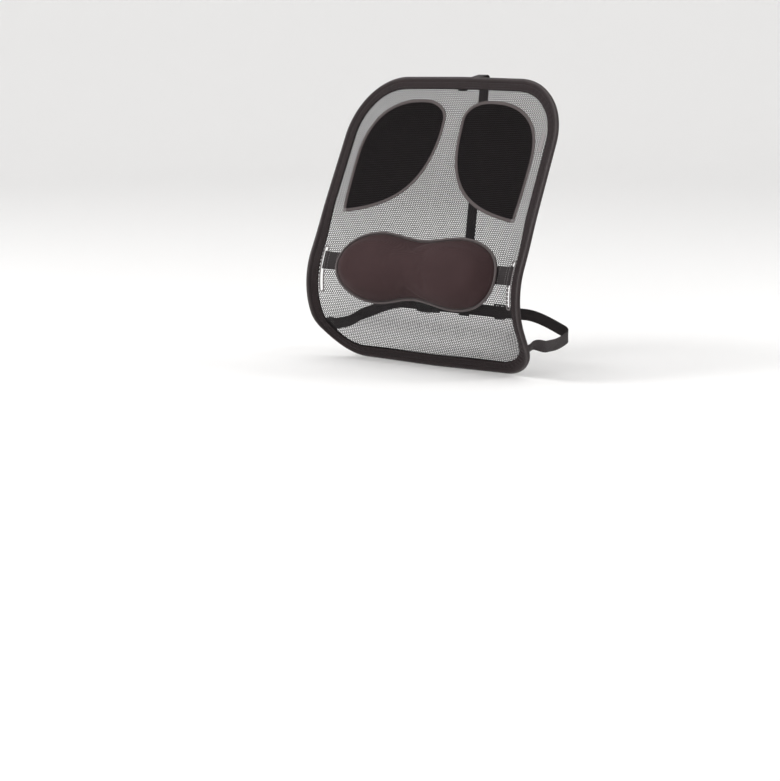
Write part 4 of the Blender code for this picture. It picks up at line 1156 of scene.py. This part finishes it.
def bartack(side):
    """Short bars of stitches across the tape's two ends at the sharp corner."""
    x, z = WING_CORNER
    lift = TAPE_LIFT + 2 * WING_TAPE_THICKNESS + 0.0003
    bars = []
    for step in range(9):
        height = z + 0.0006 + (-0.0026 + 0.0052 * step / 8)
        ends = np.array([[side * (x - 0.0030), height], [side * (x + 0.0024), height]])
        bars.append((lay(*evenly_spaced(ends, 4, False).T, lift), False))
    return bars


# %% Tapes and their stitches
for side_sign, label in SIDES:
    path = wing_path(side_sign)
    lengths = run_lengths(path)
    lap = smooth_step(lengths, lengths[-1] - LAP_FROM, lengths[-1] - LAP_TO)
    lift = TAPE_LIFT + LAP_RISE * lap
    rings = tape_rings(path, WING_TAPE_WIDTH, WING_TAPE_THICKNESS, lift)
    tape = skin("wing_edging_" + label, rings, False, tape_cloth, "support")
    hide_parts("wing_tape_" + label)
    top = lift + WING_TAPE_THICKNESS + THREAD_CLEAR
    rows = [(tape_line(path, across, top), False) for across in (-0.0019, 0.0019)]
    sewn("wing_stitches_" + label, rows, "support", dark_thread, 0.0030, 0.0022, 0.0005)
    bars = bartack(side_sign)
    sewn("wing_bartack_" + label, bars, "support", grey_thread, 0.0017, 0.0019, 0.0006)

# %% The knit behind the wings
for side_sign, label in SIDES:
    outline = wing_outline(side_sign, 200)
    centre = outline.mean(axis=0)
    shares = np.linspace(0.02, 1.0, 26)
    x = centre[0] + (outline[None, :, 0] - centre[0]) * shares[:, None]
    z = centre[1] + (outline[None, :, 1] - centre[1]) * shares[:, None]
    near = lay(x, z, -PANEL_DEPTH)
    far = lay(x[::-1], z[::-1], -PANEL_DEPTH - PANEL_THICKNESS)
    rings = np.concatenate([near, far])
    panel = skin("wing_knit_" + label, rings, False, wing_cloth, "support")
    uv = panel.data.uv_layers["cloth"]
    for loop in panel.data.loops:
        place = panel.data.vertices[loop.vertex_index].co
        uv.data[loop.index].uv = (place.x, float(np.interp(place.z, heights, climb)))
    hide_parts("wing_panel_" + label)
    tall = float(np.ptp(np.interp(outline[:, 1], heights, climb)))
    ahead = np.roll(outline, -1, axis=0)
    twice_area = float(np.sum(outline[:, 0] * ahead[:, 1] - ahead[:, 0] * outline[:, 1]))
    area = abs(twice_area) / 2
    area *= tall / float(np.ptp(outline[:, 1]))


# %% [markdown]
# ## Slit bindings and the tag
#
# The net is cut where the cushion's webbing passes through, and the cut is bound with a narrow
# tape. A small blank tag of woven ribbon lies on the net beside the border.

# %% Bindings of the slits
SLIT_TAPE_WIDTH = 0.0030
# The outer run lies this far over the opening, on the side that the webbing leaves free.
SLIT_TAPE_OVERHANG = 0.0017
SLIT_TAPE_THICKNESS = 0.0005
SLIT_CORNER = 0.0016
TAG_LENGTH = 0.030
TAG_WIDTH = 0.0075
TAG_Z = 0.2980
TAG_GAP = 0.0022
TAG_THICKNESS = 0.0006

half_tape = SLIT_TAPE_WIDTH / 2
low, high = slit_low - half_tape, slit_high + half_tape
near, far = slit_inner - half_tape, slit_outer + half_tape - SLIT_TAPE_OVERHANG
corners = [(x, z, SLIT_CORNER) for x, z in ((near, low), (far, low), (far, high), (near, high))]
loop = evenly_spaced(rounded_path(corners, closed=True, step=0.0005), 220, closed=True)
inside = inward(loop)
section = pill_section(SLIT_TAPE_WIDTH - 0.0006, SLIT_TAPE_THICKNESS, 4)
for side_sign, label in SIDES:
    x = side_sign * (loop[:, None, 0] + inside[:, None, 0] * section[None, :, 0])
    z = loop[:, None, 1] + inside[:, None, 1] * section[None, :, 0]
    lift = NET_FACE + 0.0003 + SLIT_TAPE_THICKNESS / 2 + section[None, :, 1]
    binding = skin("slit_edging_" + label, lay(x, z, lift), True, slit_cloth, "support")
    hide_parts("slit_binding_" + label)
    rows = [(lay(side_sign * loop[:, 0], loop[:, 1], NET_FACE + 0.0009), True)]
    sewn("slit_stitches_" + label, rows, "support", grey_thread, 0.0021, 0.0015, 0.0004)

# %% The blank tag
tag_x = float(half_width_at(TAG_Z + TAG_LENGTH / 2, BORDER_WIDTH + TAG_GAP)) - TAG_WIDTH / 2
tag_z = np.linspace(TAG_Z - TAG_LENGTH / 2, TAG_Z + TAG_LENGTH / 2, 40)
tag_path = np.stack([np.full(40, tag_x), tag_z], axis=1)
rings = tape_rings(tag_path, TAG_WIDTH, TAG_THICKNESS, np.full(40, NET_FACE + 0.0005))
tag = skin("blank_tag", rings, False, tag_cloth, "support")
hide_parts("woven_tag")
tag_rows = [(tape_line(tag_path, across, NET_FACE + 0.0013), False) for across in (-0.0030, 0.0030)]
sewn("tag_stitches", tag_rows, "support", dark_thread, 0.0020, 0.0014, 0.0004)


# %% [markdown]
# ## The cushion
#
# The cushion is a peanut-shaped pad with a firm crown: its front falls away steeply to a piped
# seam, and its back lies flat on the net. The front cloth is cut a little full, so it is eased
# at the seam. A smooth dome would miss that. So the script builds the pad at its stuffed shape,
# holds its back and its seam, and lets cloth pressure fill the front.

# %% Cushion sizes
CUSHION_CROWN = 0.034
CUSHION_EDGE_REACH = 0.060
WALL_REACH = 0.025
SHOULDER = 0.22
WAIST_DIP = 0.07
WAIST_DIP_REACH = 0.045
BACK_EDGE_REACH = 0.030
SEAM_LIFT = 0.0062
BACK_LIFT = 0.0026
PIPING_RADIUS = 0.0024
GAP = 0.0003

edge_points = cushion_outline(0.0, 800)
print("cushion", [round(float(size), 4) for size in np.ptp(edge_points, axis=0)])


# %% The pad's height over its outline
def depth_inside(x, z):
    """Distance of each point from the cushion's seam line."""
    points = np.stack([np.ravel(x), np.ravel(z)], axis=1)
    found = [float(np.min(np.hypot(*(edge_points - point).T))) for point in points]
    return np.reshape(found, np.shape(x))


def crown(x, depth):
    """How far the stuffed front stands off its seam."""
    waist = 1.0 - WAIST_DIP * np.exp(-((x / WAIST_DIP_REACH) ** 2))
    # A wall that climbs to a flat face, with a soft shoulder between them.
    wall = depth / WALL_REACH
    lower = np.clip(0.5 + 0.5 * (1.0 - wall) / SHOULDER, 0.0, 1.0)
    share = 1.0 + (wall - 1.0) * lower - SHOULDER * lower * (1.0 - lower)
    dome = 1.0 - (1.0 - np.minimum(1.0, depth / CUSHION_EDGE_REACH)) ** 2.5
    return CUSHION_CROWN * waist * (0.85 * share + 0.15 * dome)


def hollow_back(depth):
    """How far the back drops from the seam to lie on the net."""
    share = np.minimum(1.0, depth / BACK_EDGE_REACH)
    return (SEAM_LIFT - BACK_LIFT) * (1.0 - (1.0 - share) ** 2)


# %% The pad's starting shape
COLUMNS = 110
ROWS = 34
SMOOTHING = 14


def pad_grid():
    """Columns across the pad, each with rows from its lower edge to its upper edge."""
    angle = np.linspace(0.0, math.pi, COLUMNS + 1)
    x = -CUSHION_HALF_WIDTH * np.cos(angle)
    upper = edge_points[edge_points[:, 1] >= CUSHION_CENTRE_Z]
    lower = edge_points[edge_points[:, 1] <= CUSHION_CENTRE_Z]
    upper, lower = upper[np.argsort(upper[:, 0])], lower[np.argsort(lower[:, 0])]
    above = np.interp(x, upper[:, 0], upper[:, 1])
    below = np.interp(x, lower[:, 0], lower[:, 1])
    above[[0, -1]] = below[[0, -1]] = CUSHION_CENTRE_Z
    share = 0.5 - 0.5 * np.cos(np.linspace(0.0, math.pi, ROWS + 1))
    share = 0.45 * share + 0.55 * np.linspace(0.0, 1.0, ROWS + 1)
    z = below[:, None] + (above - below)[:, None] * share[None, :]
    return np.broadcast_to(x[:, None], z.shape), z


def pad_mesh():
    """A closed pad of front, back and shared seam: points, faces, which are held, which on the seam."""
    x, z = pad_grid()
    depth = depth_inside(x, z)
    rim = np.zeros(x.shape, bool)
    rim[[0, -1], :] = True
    rim[:, [0, -1]] = True
    depth[rim] = 0.0
    rise = crown(x, depth)
    for _ in range(SMOOTHING):
        around = rise[:-2, 1:-1] + rise[2:, 1:-1] + rise[1:-1, :-2] + rise[1:-1, 2:]
        rise[1:-1, 1:-1] = rise[1:-1, 1:-1] * 0.5 + around * 0.125
    front = lay(x, z, SEAM_LIFT + rise)
    back = lay(x, z, SEAM_LIFT - hollow_back(depth))
    points, held, on_rim, number = [], [], [], {}
    for face, grid in (("front", front), ("back", back)):
        for i in range(x.shape[0]):
            for j in range(x.shape[1]):
                if i in (0, COLUMNS):
                    key = ("tip", i)
                elif j in (0, ROWS):
                    key = ("rim", i, j)
                else:
                    key = (face, i, j)
                if key not in number:
                    number[key] = len(points)
                    points.append(grid[i, j])
                    held.append(key[0] != "front")
                    on_rim.append(key[0] in ("tip", "rim"))
                number[(face, "at", i, j)] = number[key]
    faces = []
    for face in ("front", "back"):
        for i in range(COLUMNS):
            for j in range(ROWS):
                ring = [number[(face, "at", i + a, j + b)] for a, b in ((0, 0), (1, 0), (1, 1), (0, 1))]
                ring = list(dict.fromkeys(ring))
                if len(ring) > 2:
                    faces.append(ring if face == "front" else ring[::-1])
    return np.array(points), faces, np.array(held), np.array(on_rim)


pad_points, pad_faces, pad_held, pad_rim = pad_mesh()
print("pad has", len(pad_points), "points, of which", int((~pad_held).sum()), "are free to fill out")


# %% Filling the front with air
CLOTH_FRAMES = 20
MOST_MOVED = 0.0050
# The cover is cut a touch fuller than the pad, so its shrink is below zero.
COVER_CLOTH = {
    "quality": 6,
    "mass": 0.25,
    "tension_stiffness": 25,
    "compression_stiffness": 25,
    "shear_stiffness": 10,
    "bending_stiffness": 0.8,
    "air_damping": 6,
    "use_pressure": True,
    "uniform_pressure_force": 5.0,
    "shrink_min": -0.006,
    "shrink_max": -0.006,
}


def fill_out(pad):
    """Cloth pressure on the front; the seam and the back are pinned."""
    group = pad.vertex_groups.new(name="held")
    group.add([int(i) for i in np.flatnonzero(pad_held)], 1.0, "REPLACE")
    cloth = pad.modifiers.new("cloth", "CLOTH")
    settings = cloth.settings
    for label, value in COVER_CLOTH.items():
        setattr(settings, label, value)
    settings.effector_weights.gravity = 0.0
    settings.vertex_group_mass = "held"
    cloth.collision_settings.use_collision = False
    for step in range(1, CLOTH_FRAMES + 1):
        bpy.context.scene.frame_set(step)
    graph = bpy.context.evaluated_depsgraph_get()
    settled = bpy.data.meshes.new_from_object(pad.evaluated_get(graph))
    filled = np.array([tuple(vertex.co) for vertex in settled.vertices])
    pad.modifiers.remove(cloth)
    pad.vertex_groups.clear()
    bpy.data.meshes.remove(settled)
    bpy.context.scene.frame_set(1)
    return filled


# %% The pad, filled and smoothed
cushion_mesh = bpy.data.meshes.new("cushion")
cushion_mesh.from_pydata(pad_points.tolist(), [], pad_faces)
outward(cushion_mesh)
work = bmesh.new()
work.from_mesh(cushion_mesh)
crease = work.edges.layers.float.new("crease_edge")
for edge in work.edges:
    edge[crease] = float(all(pad_rim[vertex.index] for vertex in edge.verts))
work.to_mesh(cushion_mesh)
work.free()
cushion = linked("cushion", cushion_mesh)
moved = fill_out(cushion) - pad_points
far = np.linalg.norm(moved, axis=1)
moved *= np.minimum(1.0, MOST_MOVED / np.maximum(far, 1e-9))[:, None]
print("the front moved", round(float(far.max()) * 1000, 2), "mm at most")
for vertex, place in zip(cushion_mesh.vertices, pad_points + moved):
    vertex.co = place
cushion_mesh.materials.append(cushion_cloth)
cushion_mesh.shade_smooth()
finer = cushion.modifiers.new("finer", "SUBSURF")
finer.levels = finer.render_levels = 1
graph = bpy.context.evaluated_depsgraph_get()
smooth_mesh = bpy.data.meshes.new_from_object(cushion.evaluated_get(graph))
cushion.modifiers.remove(finer)
cushion.data = smooth_mesh
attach(cushion, "lumbar_cushion")
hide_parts("cushion_front_cover", "cushion_back_cover", "cushion_foam")


# %% [markdown]
# ## Piping and the seam
#
# Thin corded piping in grey twill runs all round the seam, sewn in with a narrow flange. Just
# inside it a row of fine stitches holds the front cloth down. The stitches must lie on the
# filled cloth, so each of their points is dropped onto it along the surface's own direction.

# %% Piping and its flange
PIPING_STATIONS = 520
piping_line = cushion_outline(PIPING_RADIUS + GAP, PIPING_STATIONS)
turns = np.linspace(0.0, 2 * math.pi, 12, endpoint=False)
reach, rise = PIPING_RADIUS * np.cos(turns), PIPING_RADIUS * np.sin(turns)
piping_rings = lined(piping_line, reach, SEAM_LIFT + rise)
piping = skin("piping", piping_rings, True, piping_cloth, "lumbar_cushion")
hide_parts("cushion_piping")

flange_section = pill_section(0.0040, 0.0007, 4)
flange_line = cushion_outline(0.0, PIPING_STATIONS)
flange_rings = lined(flange_line, -flange_section[:, 0], SEAM_LIFT + flange_section[:, 1])
skin("piping_flange", flange_rings, True, piping_cloth, "lumbar_cushion")

# %% Stitches along the seam
smooth_points = [tuple(vertex.co) for vertex in smooth_mesh.vertices]
smooth_faces = [tuple(face.vertices) for face in smooth_mesh.polygons]
cushion_tree = BVHTree.FromPolygons(smooth_points, smooth_faces)


def on_cushion(flat_points):
    """Drops points onto the cushion's front along the direction square to the net."""
    over = lay(flat_points[:, 0], flat_points[:, 1], 2 * CUSHION_CROWN + 0.002)
    under = lay(flat_points[:, 0], flat_points[:, 1], 0.0)
    placed = []
    for start, end in zip(over, under):
        ray = Vector(end - start).normalized()
        hit = cushion_tree.ray_cast(Vector(start), ray)[0]
        placed.append(tuple(hit - ray * 0.0002) if hit else tuple(end))
    return np.array(placed)


on_piping = cushion_outline(PIPING_RADIUS * 0.2, 500)
seam_rows = [
    (on_cushion(cushion_outline(-0.0030, 500)), True),
    (lay(*on_piping.T, SEAM_LIFT + PIPING_RADIUS + THREAD_CLEAR), True),
]
sewn("seam_stitches", seam_rows, "lumbar_cushion", dark_thread, 0.0030, 0.0021, 0.0005)


# %% [markdown]
# ## The cushion's webbing
#
# Two pieces of 32 mm webbing leave the cushion's back, turn through the slits and lie over each
# other behind the net, where hook and loop tape joins them. Their section has rounded edges, and
# it is swept along a path in the arc's own terms: distance across and distance from the axis.

# %% Webbing on the arc
TAB_THICKNESS = 0.0014
# The webbing starts this far inside the cushion's seam line, under the piping.
TAB_START_INSIDE = 0.004
# This far from the lumbar axis, the webbing's width is turned into an angle.
TAB_ARC_RADIUS = 0.116
HOOK_THICKNESS = 0.0010
CLOSURE_LENGTH = 0.070


def tab_path(rear_offset):
    """Middle line of one tab, as (x, distance from the lumbar axis)."""
    start = CUSHION_HALF_WIDTH - TAB_START_INSIDE
    end = -CLOSURE_LENGTH / 2
    path = []
    for share in np.linspace(0.0, 1.0, 14):
        x = start + (slit_inner - start) * share
        path.append((x, float(net_radius(x)) + TAB_BEND_RADIUS))
    for degrees in range(12, 169, 12):
        angle = math.radians(90 - degrees)
        x = slit_inner + TAB_BEND_RADIUS * math.cos(angle)
        path.append((x, float(net_radius(slit_inner)) + TAB_BEND_RADIUS * math.sin(angle)))
    for share in np.linspace(0.0, 1.0, 70):
        x = slit_inner + (end - slit_inner) * share
        settle = float(smooth_step(-x, -0.075, -0.040)) * rear_offset
        path.append((x, float(net_radius(x)) - TAB_BEND_RADIUS - settle))
    return np.array(path)


def arc_strap(name, path, width, thickness, material, round_points=4):
    """A strap round the lumbar axis, whose path is (x, distance from the axis)."""
    sideways = beside(path)
    section = pill_section(width, thickness, round_points)
    x = path[:, None, 0] + sideways[:, None, 0] * section[None, :, 1]
    radius = path[:, None, 1] + sideways[:, None, 1] * section[None, :, 1]
    angle = TAB_CENTRE_ANGLE + section[None, :, 0] / TAB_ARC_RADIUS
    return skin(name, on_arc(x, radius, angle), False, material, "lumbar_cushion")


def arc_line(path, across, off):
    """A line along a tab, off its middle line by the given distances."""
    line = path + beside(path) * off
    return on_arc(line[:, 0], line[:, 1], TAB_CENTRE_ANGLE + across / TAB_ARC_RADIUS)


# %% The two tabs and their stitches
step_back = TAB_THICKNESS + 2 * HOOK_THICKNESS + 3 * GAP
face = TAB_THICKNESS / 2 + THREAD_CLEAR
edge_rows = (-TAB_WIDTH / 2 + 0.0022, TAB_WIDTH / 2 - 0.0022)
cross_angles = np.linspace(-TAB_WIDTH / 2 + 0.002, TAB_WIDTH / 2 - 0.002, 12) / TAB_ARC_RADIUS
tab_rows = []
for (side_sign, label), offset in zip(SIDES, (0.0, step_back)):
    path = tab_path(offset) * np.array([side_sign, 1.0])
    tab = arc_strap("cushion_tab_" + label, path, TAB_WIDTH, TAB_THICKNESS, tab_cloth)
    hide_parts("cushion_strap_" + label)
    tab_rows += [(arc_line(path, across, -side_sign * face), False) for across in edge_rows]
    for index in (4, 10, 12):
        x, radius = path[index]
        line = on_arc(np.full(12, x), radius + face, TAB_CENTRE_ANGLE + cross_angles)
        tab_rows.append((line, False))
sewn("tab_stitches", tab_rows, "lumbar_cushion", grey_thread, 0.0028, 0.0021, 0.0005)

# %% Hook and loop tape where the tabs meet
closure_reach = CLOSURE_LENGTH / 2 - 0.005
first = TAB_BEND_RADIUS + TAB_THICKNESS / 2 + GAP + HOOK_THICKNESS / 2
second = first + HOOK_THICKNESS + GAP
for label, depth, pile in (("loop", first, loop_pile), ("hook", second, hook_pile)):
    x = np.linspace(-closure_reach, closure_reach, 40)
    path = np.stack([x, net_radius(x) - depth], axis=1)
    fastener = arc_strap("closure_" + label, path, TAB_WIDTH - 0.002, HOOK_THICKNESS, pile, 3)
    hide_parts("cushion_closure_" + label)
    print("touch fastener,", label, "side:", round(2 * closure_reach, 3), "m long")


# %% [markdown]
# ## Chair straps
#
# A 20 mm strap leaves each side of the border, goes back beside the chair and meets the other
# in a side-release buckle. Each is webbing carried along a run of stations, which hold a middle
# point and the direction of the webbing's width, so that the strap can twist from the border's
# slope to upright on its way.

# %% Strap sizes
STRAP_WIDTH = 0.020
STRAP_THICKNESS = 0.0014
STRAP_SIDE_X = 0.2255
STRAP_SIDE_Z = -0.0375
STRAP_ANCHOR_Z = -0.045
STRAP_REAR_CORNER = 0.016
STRAP_LEVEL_X = 0.130
STRAP_RISE_FROM_Y = -0.055
STRAP_END_GAP = 0.0006
PATCH_LENGTH = 0.024
PATCH_WIDTH = 0.010
PATCH_THICKNESS = 0.0014
ANCHOR_GAP = 0.0006
ANCHOR_INSET = 0.0145
BORDER_BACK = -(BAND_LIFT + ANCHOR_GAP)


# %% Where a strap is sewn to the border
def rim_places(distance, lift, reach):
    """Stations along the right-hand border, reach either way from the strap's anchor."""
    line = border_outline(400)
    directions = inward(line)
    spacing = float(np.linalg.norm(line[1] - line[0]))
    right = np.flatnonzero(line[:, 0] > 0)
    middle = int(right[np.argmin(np.abs(line[right, 1] - STRAP_ANCHOR_Z))])
    steps = round(reach / spacing)
    chosen = np.arange(middle - steps, middle + steps + 1)
    flat = line[chosen] + directions[chosen] * distance
    further = flat + directions[chosen] * 0.002
    centres = lay(flat[:, 0], flat[:, 1], lift)
    return centres, unit(lay(further[:, 0], further[:, 1], lift) - centres)


# %% The way of a chair strap
def strap_route(end_x):
    """Stations of the right-hand strap, from its anchor to end_x behind the chair."""
    centres, across = rim_places(ANCHOR_INSET, BORDER_BACK, 0.004)
    place, outward = Vector(centres[len(centres) // 2]), -Vector(across[len(centres) // 2])
    upward = Vector(centres[-1] - centres[0]).normalized()
    back = outward.cross(upward).normalized()
    if back.y < 0:
        back = -back
    level = Vector((0, 0, 1))
    held = place + back * (PATCH_THICKNESS + ANCHOR_GAP + STRAP_THICKNESS / 2)
    start = held - outward * PATCH_WIDTH * 0.6
    bend = held + outward * 0.002
    leave = bend + outward * 0.006 + back * 0.008
    beside_chair = Vector((STRAP_SIDE_X, leave.y + 0.034, STRAP_SIDE_Z))
    first = interpolate_bezier(bend, bend + outward * 0.0045, leave - back * 0.0045, leave, 16)
    run_in = beside_chair - Vector((0, 0.014, 0))
    second = interpolate_bezier(leave, leave + back * 0.012, run_in, beside_chair, 24)
    stations = [(start.lerp(bend, share), upward) for share in (0.0, 0.33, 0.66)]
    stations += [(point, upward) for point in first]
    stations += [(point, upward.lerp(level, step / 23)) for step, point in enumerate(second) if step]
    rear_y = STRAP_THICKNESS / 2
    rear_corner = (STRAP_SIDE_X, rear_y, STRAP_REAR_CORNER)
    corners = [(beside_chair.x, beside_chair.y, 0), rear_corner, (end_x, rear_y, 0)]
    path = rounded_path(corners, closed=False, step=0.0015)
    path = evenly_spaced(path, 260, closed=False)
    lengths = run_lengths(path)
    round_corner = rear_y - beside_chair.y - STRAP_REAR_CORNER * (2 - math.pi / 2)
    rise_start = STRAP_RISE_FROM_Y - beside_chair.y
    rise_end = round_corner + STRAP_SIDE_X - STRAP_LEVEL_X
    rise = STRAP_SIDE_Z * (1.0 - smooth_step(lengths, rise_start, rise_end))
    stations += [(Vector((x, y, z)), level) for (x, y), z in list(zip(path, rise))[1:]]
    return stations


# %% Webbing along stations
def strap_frames(stations):
    """A strap's middle points, the directions of its width, and those square to its face."""
    centres = np.array([tuple(centre) for centre, _ in stations])
    rough = np.array([tuple(direction) for _, direction in stations])
    along = unit(np.gradient(centres, axis=0))
    breadth = unit(rough - along * np.sum(rough * along, axis=1, keepdims=True))
    return centres, breadth, np.cross(along, breadth)


def strap(name, stations, width, thickness, material):
    """Webbing carried along its stations."""
    centres, breadth, face = strap_frames(stations)
    section = pill_section(width, thickness, 4)
    rings = centres[:, None, :] + breadth[:, None, :] * section[None, :, 0, None]
    rings = rings + face[:, None, :] * section[None, :, 1, None]
    return skin(name, rings, False, material, "support")


def strap_spot(stations, share, across, off):
    """A point on a strap: share along it, across its width, and off its middle."""
    frames = strap_frames(stations)
    count = np.arange(len(stations))
    at = share * (len(stations) - 1)
    centre, side, out = (
        np.array([np.interp(at, count, column) for column in frame_part.T]) for frame_part in frames
    )
    return centre + side * across + out * off


def across_strap(stations, share, off):
    """A short row of stitches across a strap."""
    places = np.linspace(-0.008, 0.008, 8)
    return np.array([strap_spot(stations, share, place, off) for place in places]), False


# %% Straps, patches and their box stitches
BUCKLE_X = -0.085
SOCKET_LENGTH = 0.034
PLUG_REACH = 0.0136
plug_outer = BUCKLE_X + SOCKET_LENGTH / 2 + PLUG_REACH
socket_outer = BUCKLE_X - SOCKET_LENGTH / 2


def mirrored(stations, side):
    """Stations for the right-hand strap, turned over to the other side for side -1."""
    flip = Vector((side, 1, 1))
    return [(Vector(centre) * flip, Vector(direction) * flip) for centre, direction in stations]


patch_rows, strap_rows = [], []
patch_face = PATCH_THICKNESS / 2 + THREAD_CLEAR
strap_face = STRAP_THICKNESS / 2 + THREAD_CLEAR
# A box and one diagonal, as (share along the patch, distance across it).
BOX_HALF = 0.0036
BOX = [(0.10, -BOX_HALF), (0.90, -BOX_HALF), (0.90, BOX_HALF), (0.10, BOX_HALF)]
BOX += [(0.10, -BOX_HALF), (0.90, BOX_HALF)]
ends = {"right": plug_outer + STRAP_END_GAP, "left": -socket_outer + STRAP_END_GAP}
for side_sign, label in SIDES[::-1]:
    route = mirrored(strap_route(ends[label]), side_sign)
    piece = strap("chair_webbing_" + label, route, STRAP_WIDTH, STRAP_THICKNESS, strap_cloth)
    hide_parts("chair_strap_" + label)
    centres, across = rim_places(ANCHOR_INSET, BORDER_BACK - PATCH_THICKNESS / 2, PATCH_LENGTH / 2)
    base = mirrored([(Vector(c), Vector(a)) for c, a in zip(centres, across)], side_sign)
    name = "anchor_patch_webbing_" + label
    patch = strap(name, base, PATCH_WIDTH, PATCH_THICKNESS, patch_cloth)
    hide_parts("strap_anchor_patch_" + label)
    for off in (-patch_face, patch_face):
        for (s0, a0), (s1, a1) in zip(BOX, BOX[1:]):
            steps = np.linspace(0.0, 1.0, 8)
            line = [strap_spot(base, s0 + (s1 - s0) * t, a0 + (a1 - a0) * t, off) for t in steps]
            patch_rows.append((np.array(line), False))
    for share in (0.972, 0.984):
        strap_rows += [across_strap(route, share, off) for off in (-strap_face, strap_face)]
    print("strap", label, "is", round(float(run_lengths(strap_frames(route)[0])[-1]), 3), "m long")
sewn("anchor_stitches", patch_rows, "support", grey_thread, 0.0026, 0.0019, 0.0005)

# %% [markdown]
# ## The top strap
#
# A third strap is sewn to the middle of the top border, goes over the chair's back and ends in a
# loop that the other strap runs through. Its path lies in one plane, so it is drawn as a line of
# rounded corners and given width.

# %% The top strap
TOP_STRAP_KNEE_Z = 0.3965
TOP_STRAP_BEND_Y = 0.0610
TOP_STRAP_BEND_Z = 0.4065
TOP_STRAP_LOWER_Y = 0.0040
half = STRAP_THICKNESS / 2
back_lift = -(BEAD + ANCHOR_GAP + half)
low, high = (Vector(lay(0.0, TOP_Z - drop, back_lift)) for drop in (0.022, 0.006))
upward = (high - low).normalized()
knee = low + upward * ((TOP_STRAP_KNEE_Z - low.z) / upward.z)
loop_half = STRAP_WIDTH / 2 + 0.0025
loop_front = STRAP_THICKNESS + GAP + half
corners = [
    (low.y, low.z, 0),
    (knee.y, knee.z, 0.008),
    (TOP_STRAP_BEND_Y, TOP_STRAP_BEND_Z, 0.006),
    (TOP_STRAP_LOWER_Y + half, loop_half + 0.030, 0.030),
    (loop_front, loop_half + 0.006, 0.012),
    (loop_front, -loop_half, 0.0016),
    (-GAP - half, -loop_half, 0.0014),
    (-GAP - half, loop_half - 0.0015, 0),
]
path = evenly_spaced(rounded_path(corners, closed=False, step=0.0005), 700, closed=False)
across = Vector((1, 0, 0))
top_route = [(Vector((0.0, y, z)), across) for y, z in path]
print("top strap is", round(float(run_lengths(path)[-1]), 3), "m long")
top_webbing = strap("top_webbing", top_route, STRAP_WIDTH, STRAP_THICKNESS, strap_cloth)
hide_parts("top_strap")
drops = np.linspace(ANCHOR_INSET + PATCH_WIDTH / 2, ANCHOR_INSET - PATCH_WIDTH / 2, 8)
patch_lift = BORDER_BACK - PATCH_THICKNESS / 2
lean = math.cos(LEAN_ABOVE)
top_base = [(Vector(lay(0.0, TOP_Z - drop * lean, patch_lift)), across) for drop in drops]
top_patch = strap("top_patch_webbing", top_base, PATCH_LENGTH, PATCH_THICKNESS, patch_cloth)
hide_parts("top_anchor_patch")

# %% Stitches that close the top strap's loop
lengths = run_lengths(path)
for height in (0.018, 0.021):
    rear = np.flatnonzero((path[:, 1] < height) & (lengths > 0.30))[0] / (len(path) - 1)
    strap_rows += [across_strap(top_route, rear, off) for off in (-strap_face, strap_face)]
sewn("strap_stitches", strap_rows, "support", grey_thread, 0.0024, 0.0018, 0.0005)


# %% [markdown]
# ## Buckle and slide bar
#
# The side-release buckle and the slide bar are injection moulded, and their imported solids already
# have the moulded shape: prongs, windows, slots and rounded edges. Rebuilding them would add
# nothing, so they stay and get the moulded plastic.

# %% Plastic on the hardware
for name in ("buckle_socket", "buckle_plug", "strap_adjuster"):
    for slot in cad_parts[name].material_slots:
        slot.material = black_plastic
    print(name, "is black plastic")
